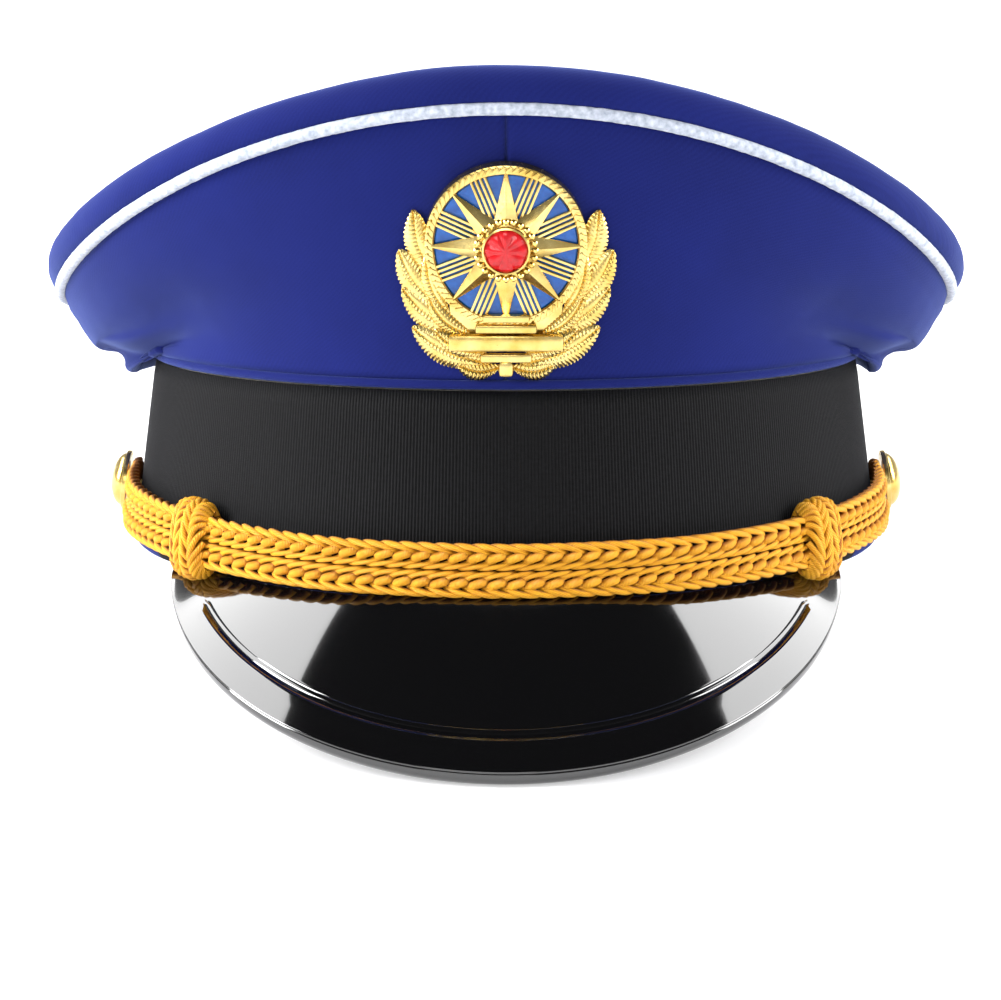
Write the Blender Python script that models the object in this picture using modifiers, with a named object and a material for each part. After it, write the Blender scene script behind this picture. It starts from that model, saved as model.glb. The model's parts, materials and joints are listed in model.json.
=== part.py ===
"""A military peaked cap, built as its maker would: cloth crown on a hoop, stiff band, visor, cord and badge.

The cap is modelled in its own frame: the band's lower edge is the plane z = 0, the front is -Y, and the
wearer's left is +X. One empty then tilts it onto the visor's edge and the band's rear edge, as on a table.
"""

import math

import bmesh
import bpy
from mathutils import Matrix, Vector

MM = 0.001
GAP = 0.35 * MM  # clearance between neighbouring pieces
SEGMENTS = 40  # round the oval rings

# Band: half width and half length of the outside at the lower edge, and how far it narrows to the top.
BAND_HALF_WIDTH = 94.5 * MM
BAND_HALF_LENGTH = 106 * MM
BAND_HEIGHT = 48 * MM
BAND_TAPER = 6 * MM
RIBBED_THICK = 0.8 * MM
RIBBED_BOTTOM = 7 * MM
CLOTH_THICK = 0.9 * MM
STIFFENER_THICK = 1.1 * MM
HEM_WIDTH = 2.4 * MM
HEM_BULGE = 0.7 * MM  # how far the turned-up cloth stands out under the ribbed band, away from the front
PIN_ROOM = 3.3 * MM  # between stiffener and sweatband, for the button pins
SWEATBAND_THICK = 0.9 * MM
SWEATBAND_DROP = 10 * MM  # its upper edge under the band's
SWEATBAND_HEIGHT = BAND_HEIGHT - SWEATBAND_DROP
SWEATBAND_TURN = 8 * MM
WELT_RADIUS = 1.1 * MM
WELT_OUT = 0.3 * MM

# Crown: how far the piping's oval stands out over the band, and how high it is over the band's top.
CROWN_SIDE_OVERHANG = 17.9 * MM
CROWN_END_OVERHANG = 11 * MM
CROWN_SIDE_RISE = 11 * MM
CROWN_HALF_WIDTH = BAND_HALF_WIDTH + CROWN_SIDE_OVERHANG
CROWN_HALF_LENGTH = BAND_HALF_LENGTH + CROWN_END_OVERHANG
CROWN_SHIFT = 1 * MM
CROWN_SIDE_HEIGHT = BAND_HEIGHT + CROWN_SIDE_RISE
CROWN_FRONT_RISE = 51.5 * MM
CROWN_REAR_RISE = 3 * MM
CROWN_RISE_START = 15 * MM
CROWN_RISE_POWER = 1.6
CROWN_CLOTH = 1.0 * MM
# The side panels' curve, each value at the front and at the sides, where the cloth hangs over the band.
SEAM_OUT = (0.4 * MM, 2 * MM)
PANEL_FOOT_OUT = (1 * MM, 5 * MM)
PANEL_FOOT_RISE = (16 * MM, -22 * MM)
PANEL_HEAD_IN = (5 * MM, 6 * MM)
PANEL_HEAD_DROP = (18 * MM, 12 * MM)
PANEL_TOP_INSET = 1.7 * MM
PANEL_TOP_DROP = 0.9 * MM
PANEL_SEAM = 0.4 * MM
SEAM_RISE = 2.8 * MM
PIPING_RADIUS = 1.8 * MM
ROLL_FRONT = 5.2 * MM
ROLL_SIDE = 6.6 * MM
ROLL_START = math.radians(-25)
ROLL_START_OUT = (1.3 * MM, 2.5 * MM)  # from the piping's middle, at the front and at the sides
ROLL_START_UP = (0.3 * MM, 0.9 * MM)  # over the piping
HOOP_RADIUS = 1.2 * MM
FRONT_PLATE_THICK = 0.8 * MM
FRONT_PLATE_HALF_ANGLE = math.radians(38)
STAY_WIDTH = 12 * MM
STAY_THICK = 0.8 * MM
LINING_INSET = 5.5 * MM  # from the band's outside at its top
LINING_THICK = 0.6 * MM
LINING_DROP = 9 * MM
SHIELD_THICK = 0.4 * MM

# Visor: its outer edge lies in one sloping plane, in front of the band.
VISOR_EAR_INSET = 14.5 * MM  # its ears inside the band's widest place
VISOR_HALF_WIDTH = BAND_HALF_WIDTH - VISOR_EAR_INSET
VISOR_EAR = math.asin(VISOR_HALF_WIDTH / BAND_HALF_WIDTH)  # the ears' angle from the front
VISOR_EAR_AHEAD = 3.6 * MM  # the ears' outer corners ahead of the band
VISOR_ROOT = -BAND_HALF_LENGTH * math.cos(VISOR_EAR) - VISOR_EAR_AHEAD
VISOR_AHEAD = 33 * MM  # its front edge ahead of the band
VISOR_REACH = BAND_HALF_LENGTH + VISOR_AHEAD + VISOR_ROOT
VISOR_ROOT_INSET = 0.2 * MM
VISOR_DROP = 35 * MM
VISOR_THICK = 1.6 * MM
VISOR_BULGE = 2.5 * MM
TRIM_WIDTH = 2.4 * MM
TRIM_WALL = 0.6 * MM
TRIM_CLEAR = 0.5 * MM
TRIM_END = 0.93  # the trim stops short of the visor's ears

# Chin cord: two plaited rows side by side, hung on the two buttons.
STRAP_SIDE_HEIGHT = 13.4 * MM
STRAP_FRONT_HEIGHT = 6.4 * MM
ROW_WIDTH = 6.2 * MM
ROW_THICK = 3 * MM
ROW_GAP = 0.4 * MM
STRAP_CLEAR = 0.4 * MM
KNOT_CLEAR = 2.1 * MM
KNOT_ANGLE = math.radians(49)
KNOT_LENGTH = 12.5 * MM
KNOT_SIDE_WALL = 2.0 * MM
KNOT_BACK_WALL = 1.1 * MM
KNOT_FRONT_WALL = 3.2 * MM
KNOT_BORE_CLEAR = 0.55 * MM
LOOP_RADIUS = 6.2 * MM

# Side buttons.
BUTTON_RADIUS = 7.5 * MM
BUTTON_DOME = 3.6 * MM
BUTTON_WALL = 0.5 * MM
BUTTON_BACK = 0.9 * MM
SHANK_RADIUS = 1.2 * MM
STEM_TIP = 0.2 * MM  # past the split pin
WASHER_RADIUS = 3.6 * MM
WASHER_THICK = 0.4 * MM
PIN_RADIUS = 0.4 * MM
PIN_LENGTH = 11 * MM

# Badge: layers laid on each other, all bent to one radius like the crown's front.
BADGE_TIGHTER = 4 * MM  # its radius under the mean radius of the crown's front
BAND_FRONT_RADIUS = BAND_HALF_WIDTH**2 / BAND_HALF_LENGTH
CROWN_FRONT_RADIUS = CROWN_HALF_WIDTH**2 / CROWN_HALF_LENGTH
BADGE_BEND = (BAND_FRONT_RADIUS + CROWN_FRONT_RADIUS) / 2 - BADGE_TIGHTER
BADGE_DISC_RADIUS = 19.6 * MM
BADGE_DISC_RISE = 3.6 * MM
BADGE_SEAT_RADIUS = 183 * MM  # the crown's bulge behind the disc, which sets how far it stands off
WREATH_OUT = 4 * MM  # the wreath beyond the disc
BADGE_HALF_WIDTH = BADGE_DISC_RADIUS + WREATH_OUT
BADGE_STRETCH = 1.08  # height over width
BADGE_OVER_BAND = 1.5 * MM  # its foot over the band's top
BADGE_HEIGHT = BAND_HEIGHT + BADGE_OVER_BAND + BADGE_HALF_WIDTH * BADGE_STRETCH
BADGE_LAYER = 1.1 * MM
ENAMEL_THICK = 0.5 * MM
WREATH_THICK = 1.8 * MM
WREATH_LAP = 2 * MM  # how far the wreath lies over the disc
WREATH_END = 0.2  # the wreath's width at its two ends, over its full width
ROSETTE_INSET = 3.6 * MM  # its points inside the disc's rim
ROSETTE_RADIUS = BADGE_DISC_RADIUS - ROSETTE_INSET
ROSETTE_POINTS = 8
ROSETTE_HEIGHT = 1.9 * MM
ROSETTE_EDGE = 0.5 * MM
BOSS_RADIUS = 5.2 * MM
BOSS_HEIGHT = 1.4 * MM
POST_SPREAD = 12 * MM
POST_RADIUS = 1.1 * MM
NUT_RADIUS = 3.4 * MM
NUT_THICK = 1.2 * MM


# ---------------------------------------------------------------- scene, materials, objects

def clear_scene():
    for obj in list(bpy.data.objects):
        bpy.data.objects.remove(obj, do_unlink=True)


clear_scene()
PARTS = bpy.data.collections.new("peaked_cap")
CUTTERS = bpy.data.collections.new("cutters")
bpy.context.scene.collection.children.link(PARTS)
bpy.context.scene.collection.children.link(CUTTERS)
CAP_FRAME = bpy.data.objects.new("cap_frame", None)
PARTS.objects.link(CAP_FRAME)


def finish(name, colour, roughness, metallic=0.0):
    material = bpy.data.materials.new(name)
    material.use_nodes = True
    shader = material.node_tree.nodes["Principled BSDF"]
    shader.inputs["Base Color"].default_value = (*colour, 1)
    shader.inputs["Roughness"].default_value = roughness
    shader.inputs["Metallic"].default_value = metallic
    return material


BLUE_CLOTH = finish("blue_wool", (0.022, 0.035, 0.29), 0.8)
WHITE_FELT = finish("white_felt", (0.74, 0.78, 0.82), 0.9)
BLACK_RIBBON = finish("black_ribbon", (0.012, 0.012, 0.014), 0.6)
BLACK_PLASTIC = finish("black_plastic", (0.01, 0.01, 0.012), 0.12)
GOLD_CORD = finish("gold_cord", (0.72, 0.36, 0.03), 0.7)
GOLD_METAL = finish("gilt_brass", (0.95, 0.62, 0.16), 0.2, 1.0)
BLUE_ENAMEL = finish("blue_enamel", (0.02, 0.16, 0.5), 0.15)
RED_ENAMEL = finish("red_enamel", (0.6, 0.01, 0.02), 0.15)
STEEL = finish("steel", (0.5, 0.5, 0.52), 0.35, 1.0)
FIBRE = finish("white_fibre_board", (0.55, 0.52, 0.46), 0.9)
FOAM = finish("foam_wadding", (0.6, 0.6, 0.58), 0.95)
LEATHER = finish("brown_leather", (0.12, 0.05, 0.025), 0.5)
SATIN = finish("lining_satin", (0.01, 0.015, 0.07), 0.45)
CLEAR_FILM = finish("clear_film", (0.6, 0.62, 0.65), 0.1)


def place(obj, material, parent=CAP_FRAME):
    """Puts an object in the cap's collection and frame, with its finish."""
    for owner in list(obj.users_collection):
        owner.objects.unlink(obj)
    PARTS.objects.link(obj)
    obj.data.materials.clear()
    obj.data.materials.append(material)
    obj.parent = parent
    return obj


def loft(name, rows, closed_rows, material, closed_along=False):
    """A mesh over rows of points. A row of one point is a pole."""
    mesh = bpy.data.meshes.new(name)
    shape = bmesh.new()
    grid = [[shape.verts.new(point) for point in row] for row in rows]
    pairs = list(zip(grid, grid[1:]))
    if closed_along:
        pairs.append((grid[-1], grid[0]))
    for first, second in pairs:
        count = max(len(first), len(second))
        for i in range(count if closed_rows else count - 1):
            j = (i + 1) % count
            near = [first[i % len(first)], first[j % len(first)]]
            far = [second[j % len(second)], second[i % len(second)]]
            shape.faces.new(list(dict.fromkeys(near + far)))
    if closed_along or len(rows[0]) == len(rows[-1]) == 1:
        bmesh.ops.recalc_face_normals(shape, faces=shape.faces)
    shape.to_mesh(mesh)
    shape.free()
    mesh.shade_smooth()
    obj = bpy.data.objects.new(name, mesh)
    return place(obj, material)


def thicken(obj, thickness, inward=True):
    solid = obj.modifiers.new("thickness", "SOLIDIFY")
    solid.thickness = thickness
    solid.offset = -1 if inward else 1
    solid.use_even_offset = True
    return obj


def tube(name, points, radius, material, closed=True, sides=1, widths=None):
    """A round cord along points, closed into a ring or with filled ends."""
    curve = bpy.data.curves.new(name, "CURVE")
    curve.dimensions = "3D"
    curve.bevel_depth = radius
    curve.bevel_resolution = sides
    curve.use_fill_caps = not closed
    spline = curve.splines.new("POLY")
    spline.points.add(len(points) - 1)
    for i, point in enumerate(points):
        spline.points[i].co = (*point, 1)
        spline.points[i].radius = widths[i] if widths else 1
    spline.use_cyclic_u = closed
    obj = bpy.data.objects.new(name, curve)
    return place(obj, material)


def turned(name, profile, matrix, material, closed=False, steps=16):
    """A profile of (radius, height) turned about Z, then placed by matrix."""
    mesh = bpy.data.meshes.new(name)
    count = len(profile)
    edges = [(i, (i + 1) % count) for i in range(count if closed else count - 1)]
    mesh.from_pydata([(radius, 0, height) for radius, height in profile], edges, [])
    obj = bpy.data.objects.new(name, mesh)
    screw = obj.modifiers.new("turn", "SCREW")
    screw.steps = steps
    screw.render_steps = steps
    screw.use_merge_vertices = True
    screw.merge_threshold = 0.00001
    obj.matrix_local = matrix
    place(obj, material)
    return obj


def block(name, size, collection):
    """A box of the given size about its own origin."""
    mesh = bpy.data.meshes.new(name)
    shape = bmesh.new()
    bmesh.ops.create_cube(shape, size=1)
    bmesh.ops.scale(shape, vec=size, verts=shape.verts)
    shape.to_mesh(mesh)
    shape.free()
    obj = bpy.data.objects.new(name, mesh)
    collection.objects.link(obj)
    return obj


def cylinder_cutter(name, radius, length, matrix):
    mesh = bpy.data.meshes.new(name)
    shape = bmesh.new()
    bmesh.ops.create_cone(
        shape, cap_ends=True, segments=16, radius1=radius, radius2=radius, depth=length
    )
    shape.to_mesh(mesh)
    shape.free()
    cutter = bpy.data.objects.new(name, mesh)
    CUTTERS.objects.link(cutter)
    cutter.matrix_local = matrix
    cutter.parent = CAP_FRAME
    cutter.hide_render = True
    cutter.display_type = "WIRE"
    return cutter


def cut(obj, cutter, operation="DIFFERENCE"):
    boolean = obj.modifiers.new(cutter.name, "BOOLEAN")
    boolean.operation = operation
    boolean.solver = "EXACT"
    boolean.object = cutter


# ---------------------------------------------------------------- shared geometry

SIDES = (("left", 1), ("right", -1))


def smooth(x, low, high):
    t = min(1, max(0, (x - low) / (high - low)))
    return t * t * (3 - 2 * t)


def mix(a, b, t):
    return a + (b - a) * t


def angles(count=SEGMENTS):
    """Angles round the cap: 0 at the front, a quarter turn at the wearer's left."""
    return [2 * math.pi * i / count for i in range(count)]


def oval(angle, half_width, half_length, height):
    return Vector((half_width * math.sin(angle), -half_length * math.cos(angle), height))


def outward(angle, half_width, half_length):
    """The level outward normal of an oval."""
    return Vector((half_length * math.sin(angle), -half_width * math.cos(angle), 0)).normalized()


def band_point(angle, inset, height):
    """A point on the band, inset from its outside."""
    narrowed = inset + BAND_TAPER * height / BAND_HEIGHT
    return oval(angle, BAND_HALF_WIDTH - narrowed, BAND_HALF_LENGTH - narrowed, height)


def band_ring(name, profile, material):
    """A closed profile of (inset, height) carried round the band."""
    rows = [[band_point(angle, inset, height) for angle in angles()] for inset, height in profile]
    return loft(name, rows, True, material, closed_along=True)


def slab(inset, thick, bottom, top):
    """The profile of a plain wall."""
    return [(inset, top), (inset, bottom), (inset + thick, bottom), (inset + thick, top)]


CLOTH_INSET = RIBBED_THICK + GAP
STIFFENER_INSET = CLOTH_INSET + CLOTH_THICK + GAP
SWEATBAND_INSET = STIFFENER_INSET + STIFFENER_THICK + PIN_ROOM
HEM_END = CLOTH_INSET + HEM_WIDTH
SWEATBAND_FOOT = HEM_END + GAP
SEAM_HEIGHT = BAND_HEIGHT + SEAM_RISE
WALL_LEAN = math.atan2(BAND_TAPER, BAND_HEIGHT)


def piping_height(along):
    """The piping's height at a distance along Y: it climbs to the front, and a little to the rear."""
    front_reach = CROWN_RISE_START + CROWN_HALF_LENGTH - CROWN_SHIFT
    rear_reach = CROWN_HALF_LENGTH + CROWN_SHIFT - CROWN_RISE_START
    ahead = max(0, CROWN_RISE_START - along) / front_reach
    behind = max(0, along - CROWN_RISE_START) / rear_reach
    rise = CROWN_FRONT_RISE * ahead**CROWN_RISE_POWER + CROWN_REAR_RISE * behind**2
    return CROWN_SIDE_HEIGHT + rise


def crown_normal(angle):
    return outward(angle, CROWN_HALF_WIDTH, CROWN_HALF_LENGTH)


def piping_point(angle):
    level = oval(angle, CROWN_HALF_WIDTH, CROWN_HALF_LENGTH, 0)
    level.y += CROWN_SHIFT
    level.z = piping_height(level.y)
    return level


def from_front(angle, low, high):
    """0 near the front of the cap and 1 away from it, either side, between two angles in degrees."""
    away = math.acos(max(-1, min(1, math.cos(angle))))
    return smooth(away, math.radians(low), math.radians(high))


def fullness(angle):
    """0 at the front of the crown, where its edge is drawn tight, and 1 where it is full."""
    return from_front(angle, 25, 80)


def panel_point(angle, along, inset=0.0):
    """A point on the crown's side: along is 0 at the band's seam and 1 under the piping."""
    hang = from_front(angle, 50, 92)
    up = Vector((0, 0, 1))
    seam = band_point(angle, -mix(*SEAM_OUT, hang), BAND_HEIGHT)
    seam.z = SEAM_HEIGHT
    normal = crown_normal(angle)
    end = piping_point(angle) - normal * PANEL_TOP_INSET - up * (PIPING_RADIUS + PANEL_TOP_DROP)
    low = seam + normal * mix(*PANEL_FOOT_OUT, hang) + up * mix(*PANEL_FOOT_RISE, hang)
    high = end - normal * mix(*PANEL_HEAD_IN, hang) - up * mix(*PANEL_HEAD_DROP, hang)
    t = along
    point = seam * (1 - t) ** 3 + low * 3 * t * (1 - t) ** 2 + high * 3 * t**2 * (1 - t) + end * t**3
    return point - normal * inset


def roll_radius(angle):
    return mix(ROLL_FRONT, ROLL_SIDE, fullness(angle))


def roll_centre(angle):
    """The middle of the padded roll at the crown's edge."""
    radius = roll_radius(angle)
    full = fullness(angle)
    start_out = mix(*ROLL_START_OUT, full)
    start_up = PIPING_RADIUS + mix(*ROLL_START_UP, full)
    out = start_out - radius * math.cos(ROLL_START)
    rise = start_up - radius * math.sin(ROLL_START)
    return piping_point(angle) + crown_normal(angle) * out + Vector((0, 0, rise))


def crown_slope(angle):
    """How steeply the top rises towards this side, from the piping's own climb."""
    step = 0.1 * MM
    along = piping_point(angle).y
    climb = (piping_height(along + step) - piping_height(along - step)) / (2 * step)
    return math.atan(climb * crown_normal(angle).y)


def roll_point(angle, turn, shrink=0.0):
    radius = roll_radius(angle) - shrink
    centre = roll_centre(angle)
    return centre + crown_normal(angle) * radius * math.cos(turn) + Vector((0, 0, radius * math.sin(turn)))


def roll_end(angle):
    return roll_point(angle, math.pi / 2 + crown_slope(angle))


def top_height(along):
    """The height of the crown's flat top at a distance along Y. It runs level from side to side."""
    end = roll_end(0) if along < CROWN_SHIFT else roll_end(math.pi)
    share = (along - CROWN_SHIFT) / (end.y - CROWN_SHIFT)
    turn = math.acos(max(-1, min(1, share)))
    return roll_end(turn if along < CROWN_SHIFT else math.pi - turn).z


def top_point(angle, share):
    """A point on the crown's flat top. share is 0 in the middle and 1 where the roll begins."""
    edge = roll_end(angle)
    middle = Vector((0, CROWN_SHIFT, 0))
    level = middle + (Vector((edge.x, edge.y, 0)) - middle) * share
    return Vector((level.x, level.y, top_height(level.y)))


# ---------------------------------------------------------------- band

def band_cloth(top):
    """The blue cloth round the band. Its lower edge is turned in, and is padded away from the front."""
    foot = RIBBED_BOTTOM - GAP
    rows = []
    for inset, height in (
        (CLOTH_INSET, top),
        (CLOTH_INSET, foot),
        ("bulge", foot),
        ("bulge", CLOTH_THICK),
        (CLOTH_INSET - GAP, 0),
        (HEM_END, 0),
        (HEM_END, CLOTH_THICK),
        (CLOTH_INSET + CLOTH_THICK, CLOTH_THICK),
        (CLOTH_INSET + CLOTH_THICK, top),
    ):
        row = []
        for angle in angles():
            bulge = mix(GAP, -HEM_BULGE, from_front(angle, 72, 92))
            row.append(band_point(angle, bulge if inset == "bulge" else inset, height))
        rows.append(row)
    return loft("band_cloth", rows, True, BLUE_CLOTH, closed_along=True)


def build_band():
    ribbed_top = BAND_HEIGHT - WELT_RADIUS - GAP
    ribbed = band_ring("ribbed_band", slab(0, RIBBED_THICK, RIBBED_BOTTOM, ribbed_top), BLACK_RIBBON)
    cloth = band_cloth(ribbed_top)
    wall = slab(STIFFENER_INSET, STIFFENER_THICK, CLOTH_THICK + GAP, ribbed_top)
    stiffener = band_ring("band_stiffener", wall, FIBRE)
    sweat = [
        (SWEATBAND_INSET, SWEATBAND_HEIGHT),
        (SWEATBAND_INSET, SWEATBAND_TURN),
        (SWEATBAND_FOOT, CLOTH_THICK / 2),
        (SWEATBAND_FOOT + SWEATBAND_THICK, CLOTH_THICK / 2),
        (SWEATBAND_INSET + SWEATBAND_THICK, SWEATBAND_TURN),
        (SWEATBAND_INSET + SWEATBAND_THICK, SWEATBAND_HEIGHT),
    ]
    band_ring("sweatband", sweat, LEATHER)
    welt_path = [band_point(angle, -WELT_OUT, BAND_HEIGHT) for angle in angles()]
    tube("band_welt", welt_path, WELT_RADIUS, BLUE_CLOTH)
    return ribbed, cloth, stiffener


# ---------------------------------------------------------------- crown

def build_crown():
    seam_half = PANEL_SEAM / 2 / CROWN_HALF_WIDTH
    quarter = math.pi / 2
    names = ("crown_front_left", "crown_rear_left", "crown_rear_right", "crown_front_right")
    panels = []
    for number, name in enumerate(names):
        start = number * quarter + seam_half
        stop = (number + 1) * quarter - seam_half
        columns = SEGMENTS // 4
        turns = [mix(start, stop, i / columns) for i in range(columns + 1)]
        rows = [[panel_point(angle, row / 6) for angle in turns] for row in range(7)]
        panels.append(thicken(loft(name, rows, False, BLUE_CLOTH), CROWN_CLOTH))
    piping = [piping_point(angle) for angle in angles(48)]
    tube("white_piping", piping, PIPING_RADIUS, WHITE_FELT)
    rows = []
    for step in range(6):
        share = step / 5
        row = []
        for angle in angles():
            row.append(roll_point(angle, mix(ROLL_START, math.pi / 2 + crown_slope(angle), share)))
        rows.append(row)
    for share in (0.88, 0.65, 0.35):
        rows.append([top_point(angle, share) for angle in angles()])
    rows.append([top_point(0, 0)])
    thicken(loft("crown_top", rows, True, BLUE_CLOTH), CROWN_CLOTH)
    return panels[0], panels[-1]


def build_crown_inside():
    wadding_shrink = CROWN_CLOTH + 4 * GAP
    widths = [(roll_radius(angle) - wadding_shrink) / (ROLL_SIDE - wadding_shrink) for angle in angles()]
    path = [roll_centre(angle) for angle in angles()]
    tube("edge_wadding", path, ROLL_SIDE - wadding_shrink, FOAM, widths=widths)
    hoop = []
    for angle in angles():
        slope = crown_slope(angle)
        reach = roll_radius(angle) - wadding_shrink + HOOP_RADIUS + 3 * GAP
        inward = -crown_normal(angle) * math.cos(slope) - Vector((0, 0, math.sin(slope)))
        hoop.append(roll_centre(angle) + inward * reach)
    tube("crown_hoop", hoop, HOOP_RADIUS, STEEL)
    plate_inset = CROWN_CLOTH + 2 * GAP
    turns = [mix(-FRONT_PLATE_HALF_ANGLE, FRONT_PLATE_HALF_ANGLE, i / 8) for i in range(9)]
    heights = [mix(0.06, 0.97, row / 4) for row in range(5)]
    rows = [[panel_point(angle, along, plate_inset) for angle in turns] for along in heights]
    plate = thicken(loft("front_plate", rows, False, FIBRE), FRONT_PLATE_THICK)
    stay_inset = plate_inset + FRONT_PLATE_THICK + 2 * GAP
    stay_half = STAY_WIDTH / 2 / CROWN_HALF_WIDTH
    turns = [mix(-stay_half, stay_half, i / 2) for i in range(3)]
    heights = [mix(0.03, 0.95, row / 6) for row in range(7)]
    rows = [[panel_point(angle, along, stay_inset) for angle in turns] for along in heights]
    thicken(loft("front_stay", rows, False, STEEL), STAY_THICK)
    return plate


def lining_ring(angle, share, height):
    half_width = BAND_HALF_WIDTH - BAND_TAPER - LINING_INSET
    half_length = BAND_HALF_LENGTH - BAND_TAPER - LINING_INSET
    return oval(angle, half_width * share, half_length * share, height)


def lining_top_point(angle, share, drop):
    """The lining's top, hung under the crown and drawn in from its edge."""
    point = lining_ring(angle, share, 0)
    point.z = top_height(point.y) - drop
    return point


def build_lining():
    foot = SWEATBAND_HEIGHT + 2 * GAP
    rows = [[lining_ring(angle, 1, foot) for angle in angles(28)]]
    rows.append([lining_ring(angle, 1, BAND_HEIGHT) for angle in angles(28)])
    for share in (1, 0.85, 0.6, 0.3):
        rows.append([lining_top_point(angle, share, LINING_DROP) for angle in angles(28)])
    rows.append([lining_top_point(0, 0, LINING_DROP)])
    thicken(loft("crown_lining", rows, True, SATIN), LINING_THICK)
    drop = LINING_DROP + LINING_THICK + 2 * GAP
    rows = [[lining_top_point(angle, share, drop) for angle in angles(20)] for share in (0.55, 0.35, 0.15)]
    rows.append([lining_top_point(0, 0, drop)])
    thicken(loft("sweat_shield", rows, True, CLEAR_FILM), SHIELD_THICK)


# ---------------------------------------------------------------- visor


def visor_edges(side):
    """The visor's inner and outer edge at a place from -1, the right ear, to 1, the left one."""
    inner = band_point(side * VISOR_EAR, VISOR_ROOT_INSET, 0)
    inner.z = -GAP
    turn = side * math.pi / 2
    ahead = math.cos(turn)
    outer = Vector(
        (VISOR_HALF_WIDTH * math.sin(turn), VISOR_ROOT - VISOR_REACH * ahead, -VISOR_DROP * ahead - GAP)
    )
    return inner, outer


def visor_point(side, along):
    """A point on the visor's upper face: along is 0 at the band and 1 at the outer edge."""
    inner, outer = visor_edges(side)
    bulge = VISOR_BULGE * 4 * along * (1 - along) * math.cos(side * math.pi / 2)
    return inner.lerp(outer, along) + Vector((0, -0.7, 0.7)) * bulge


def visor_sides(limit=1.0, columns=28):
    return [mix(limit, -limit, i / columns) for i in range(columns + 1)]


def visor_end(side):
    """Where the plate stops, inside its edge trim."""
    inner, outer = visor_edges(side)
    return 1 - (TRIM_WALL + TRIM_CLEAR) / (outer - inner).length


def build_visor():
    rows = [[visor_point(side, visor_end(side) * row / 4) for side in visor_sides()] for row in range(5)]
    thicken(loft("visor", rows, False, BLACK_PLASTIC), VISOR_THICK)


def trim_frame(side):
    """The visor's edge, the way out over it and the way up from its face."""
    step = 0.01
    edge = visor_point(side, 1)
    across = edge - visor_point(side, 0.9)
    run = visor_point(side - step, 1) - visor_point(side + step, 1)
    up = run.cross(across).normalized()
    return edge, up.cross(run).normalized(), up


def build_trim():
    """A channel pushed over the visor's outer edge."""
    wall = TRIM_WALL
    under = VISOR_THICK + TRIM_CLEAR
    path = (
        (-TRIM_WIDTH, TRIM_CLEAR),
        (-wall, TRIM_CLEAR),
        (-wall / 2, -VISOR_THICK / 2),
        (-wall, -under),
        (-TRIM_WIDTH, -under),
    )
    rows = []
    for out_by, up_by in path:
        row = []
        for side in visor_sides(TRIM_END):
            edge, out, up = trim_frame(side)
            row.append(edge + out * out_by + up * up_by)
        rows.append(row)
    thicken(loft("visor_trim", rows, False, BLACK_PLASTIC), wall, inward=False)


# ---------------------------------------------------------------- chin cord

STRAP_TILT = math.atan2(STRAP_SIDE_HEIGHT - STRAP_FRONT_HEIGHT, BAND_HALF_LENGTH)
STRAP_UP = Vector((0, -math.sin(STRAP_TILT), math.cos(STRAP_TILT)))


def strap_clearance(angle):
    away = abs(angle)
    near_knot = smooth(away, math.radians(10), math.radians(28))
    near_button = smooth(away, math.radians(68), math.radians(86))
    return mix(STRAP_CLEAR, KNOT_CLEAR, near_knot * (1 - near_button))


def strap_normal(angle):
    return outward(angle, BAND_HALF_WIDTH, BAND_HALF_LENGTH)


def strap_section(angle):
    """The ways out and up across the cord, which leans with the band's wall."""
    normal = strap_normal(angle)
    out_way = normal * math.cos(WALL_LEAN) + STRAP_UP * math.sin(WALL_LEAN)
    return out_way, STRAP_UP * math.cos(WALL_LEAN) - normal * math.sin(WALL_LEAN)


def strap_point(angle, out=0.0, up=0.0):
    """A point on the cord's middle line, or out and up from it across its section."""
    height = STRAP_SIDE_HEIGHT - BAND_HALF_LENGTH * math.cos(angle) * math.tan(STRAP_TILT)
    stand_off = strap_clearance(angle) + ROW_THICK / 2
    point = band_point(angle, 0, height) + strap_normal(angle) * stand_off
    point.z = STRAP_SIDE_HEIGHT + point.y * math.tan(STRAP_TILT)
    out_way, up_way = strap_section(angle)
    return point + out_way * out + up_way * up


def build_row(name, up):
    """One plaited row, as a bar with round edges."""
    end = math.pi / 2 - (LOOP_RADIUS + GAP) / BAND_HALF_LENGTH
    columns = 26
    turns = [mix(-end, end, i / columns) for i in range(columns + 1)]
    corners = [(math.cos(k * math.pi / 4), math.sin(k * math.pi / 4)) for k in range(8)]
    rows = []
    for angle in turns:
        ring = []
        for c, s in corners:
            out = ROW_THICK / 2 * math.copysign(abs(c) ** 0.6, c)
            high = ROW_WIDTH / 2 * math.copysign(abs(s) ** 0.6, s)
            ring.append(strap_point(angle, out, up + high))
        rows.append(ring)
    middle_first = strap_point(turns[0], 0, up)
    middle_last = strap_point(turns[-1], 0, up)
    return loft(name, [[middle_first], *rows, [middle_last]], True, GOLD_CORD)


def build_strap():
    step = (ROW_WIDTH + ROW_GAP) / 2
    build_row("cord_upper_row", step)
    build_row("cord_lower_row", -step)
    for name, side in SIDES:
        hole = SHANK_RADIUS + GAP
        half = ROW_THICK / 2
        ring = [(LOOP_RADIUS, half), (LOOP_RADIUS, -half), (hole, -half), (hole, half)]
        turned(name + "_cord_loop", ring, button_frame(side, half + STRAP_CLEAR), GOLD_CORD, closed=True)


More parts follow.
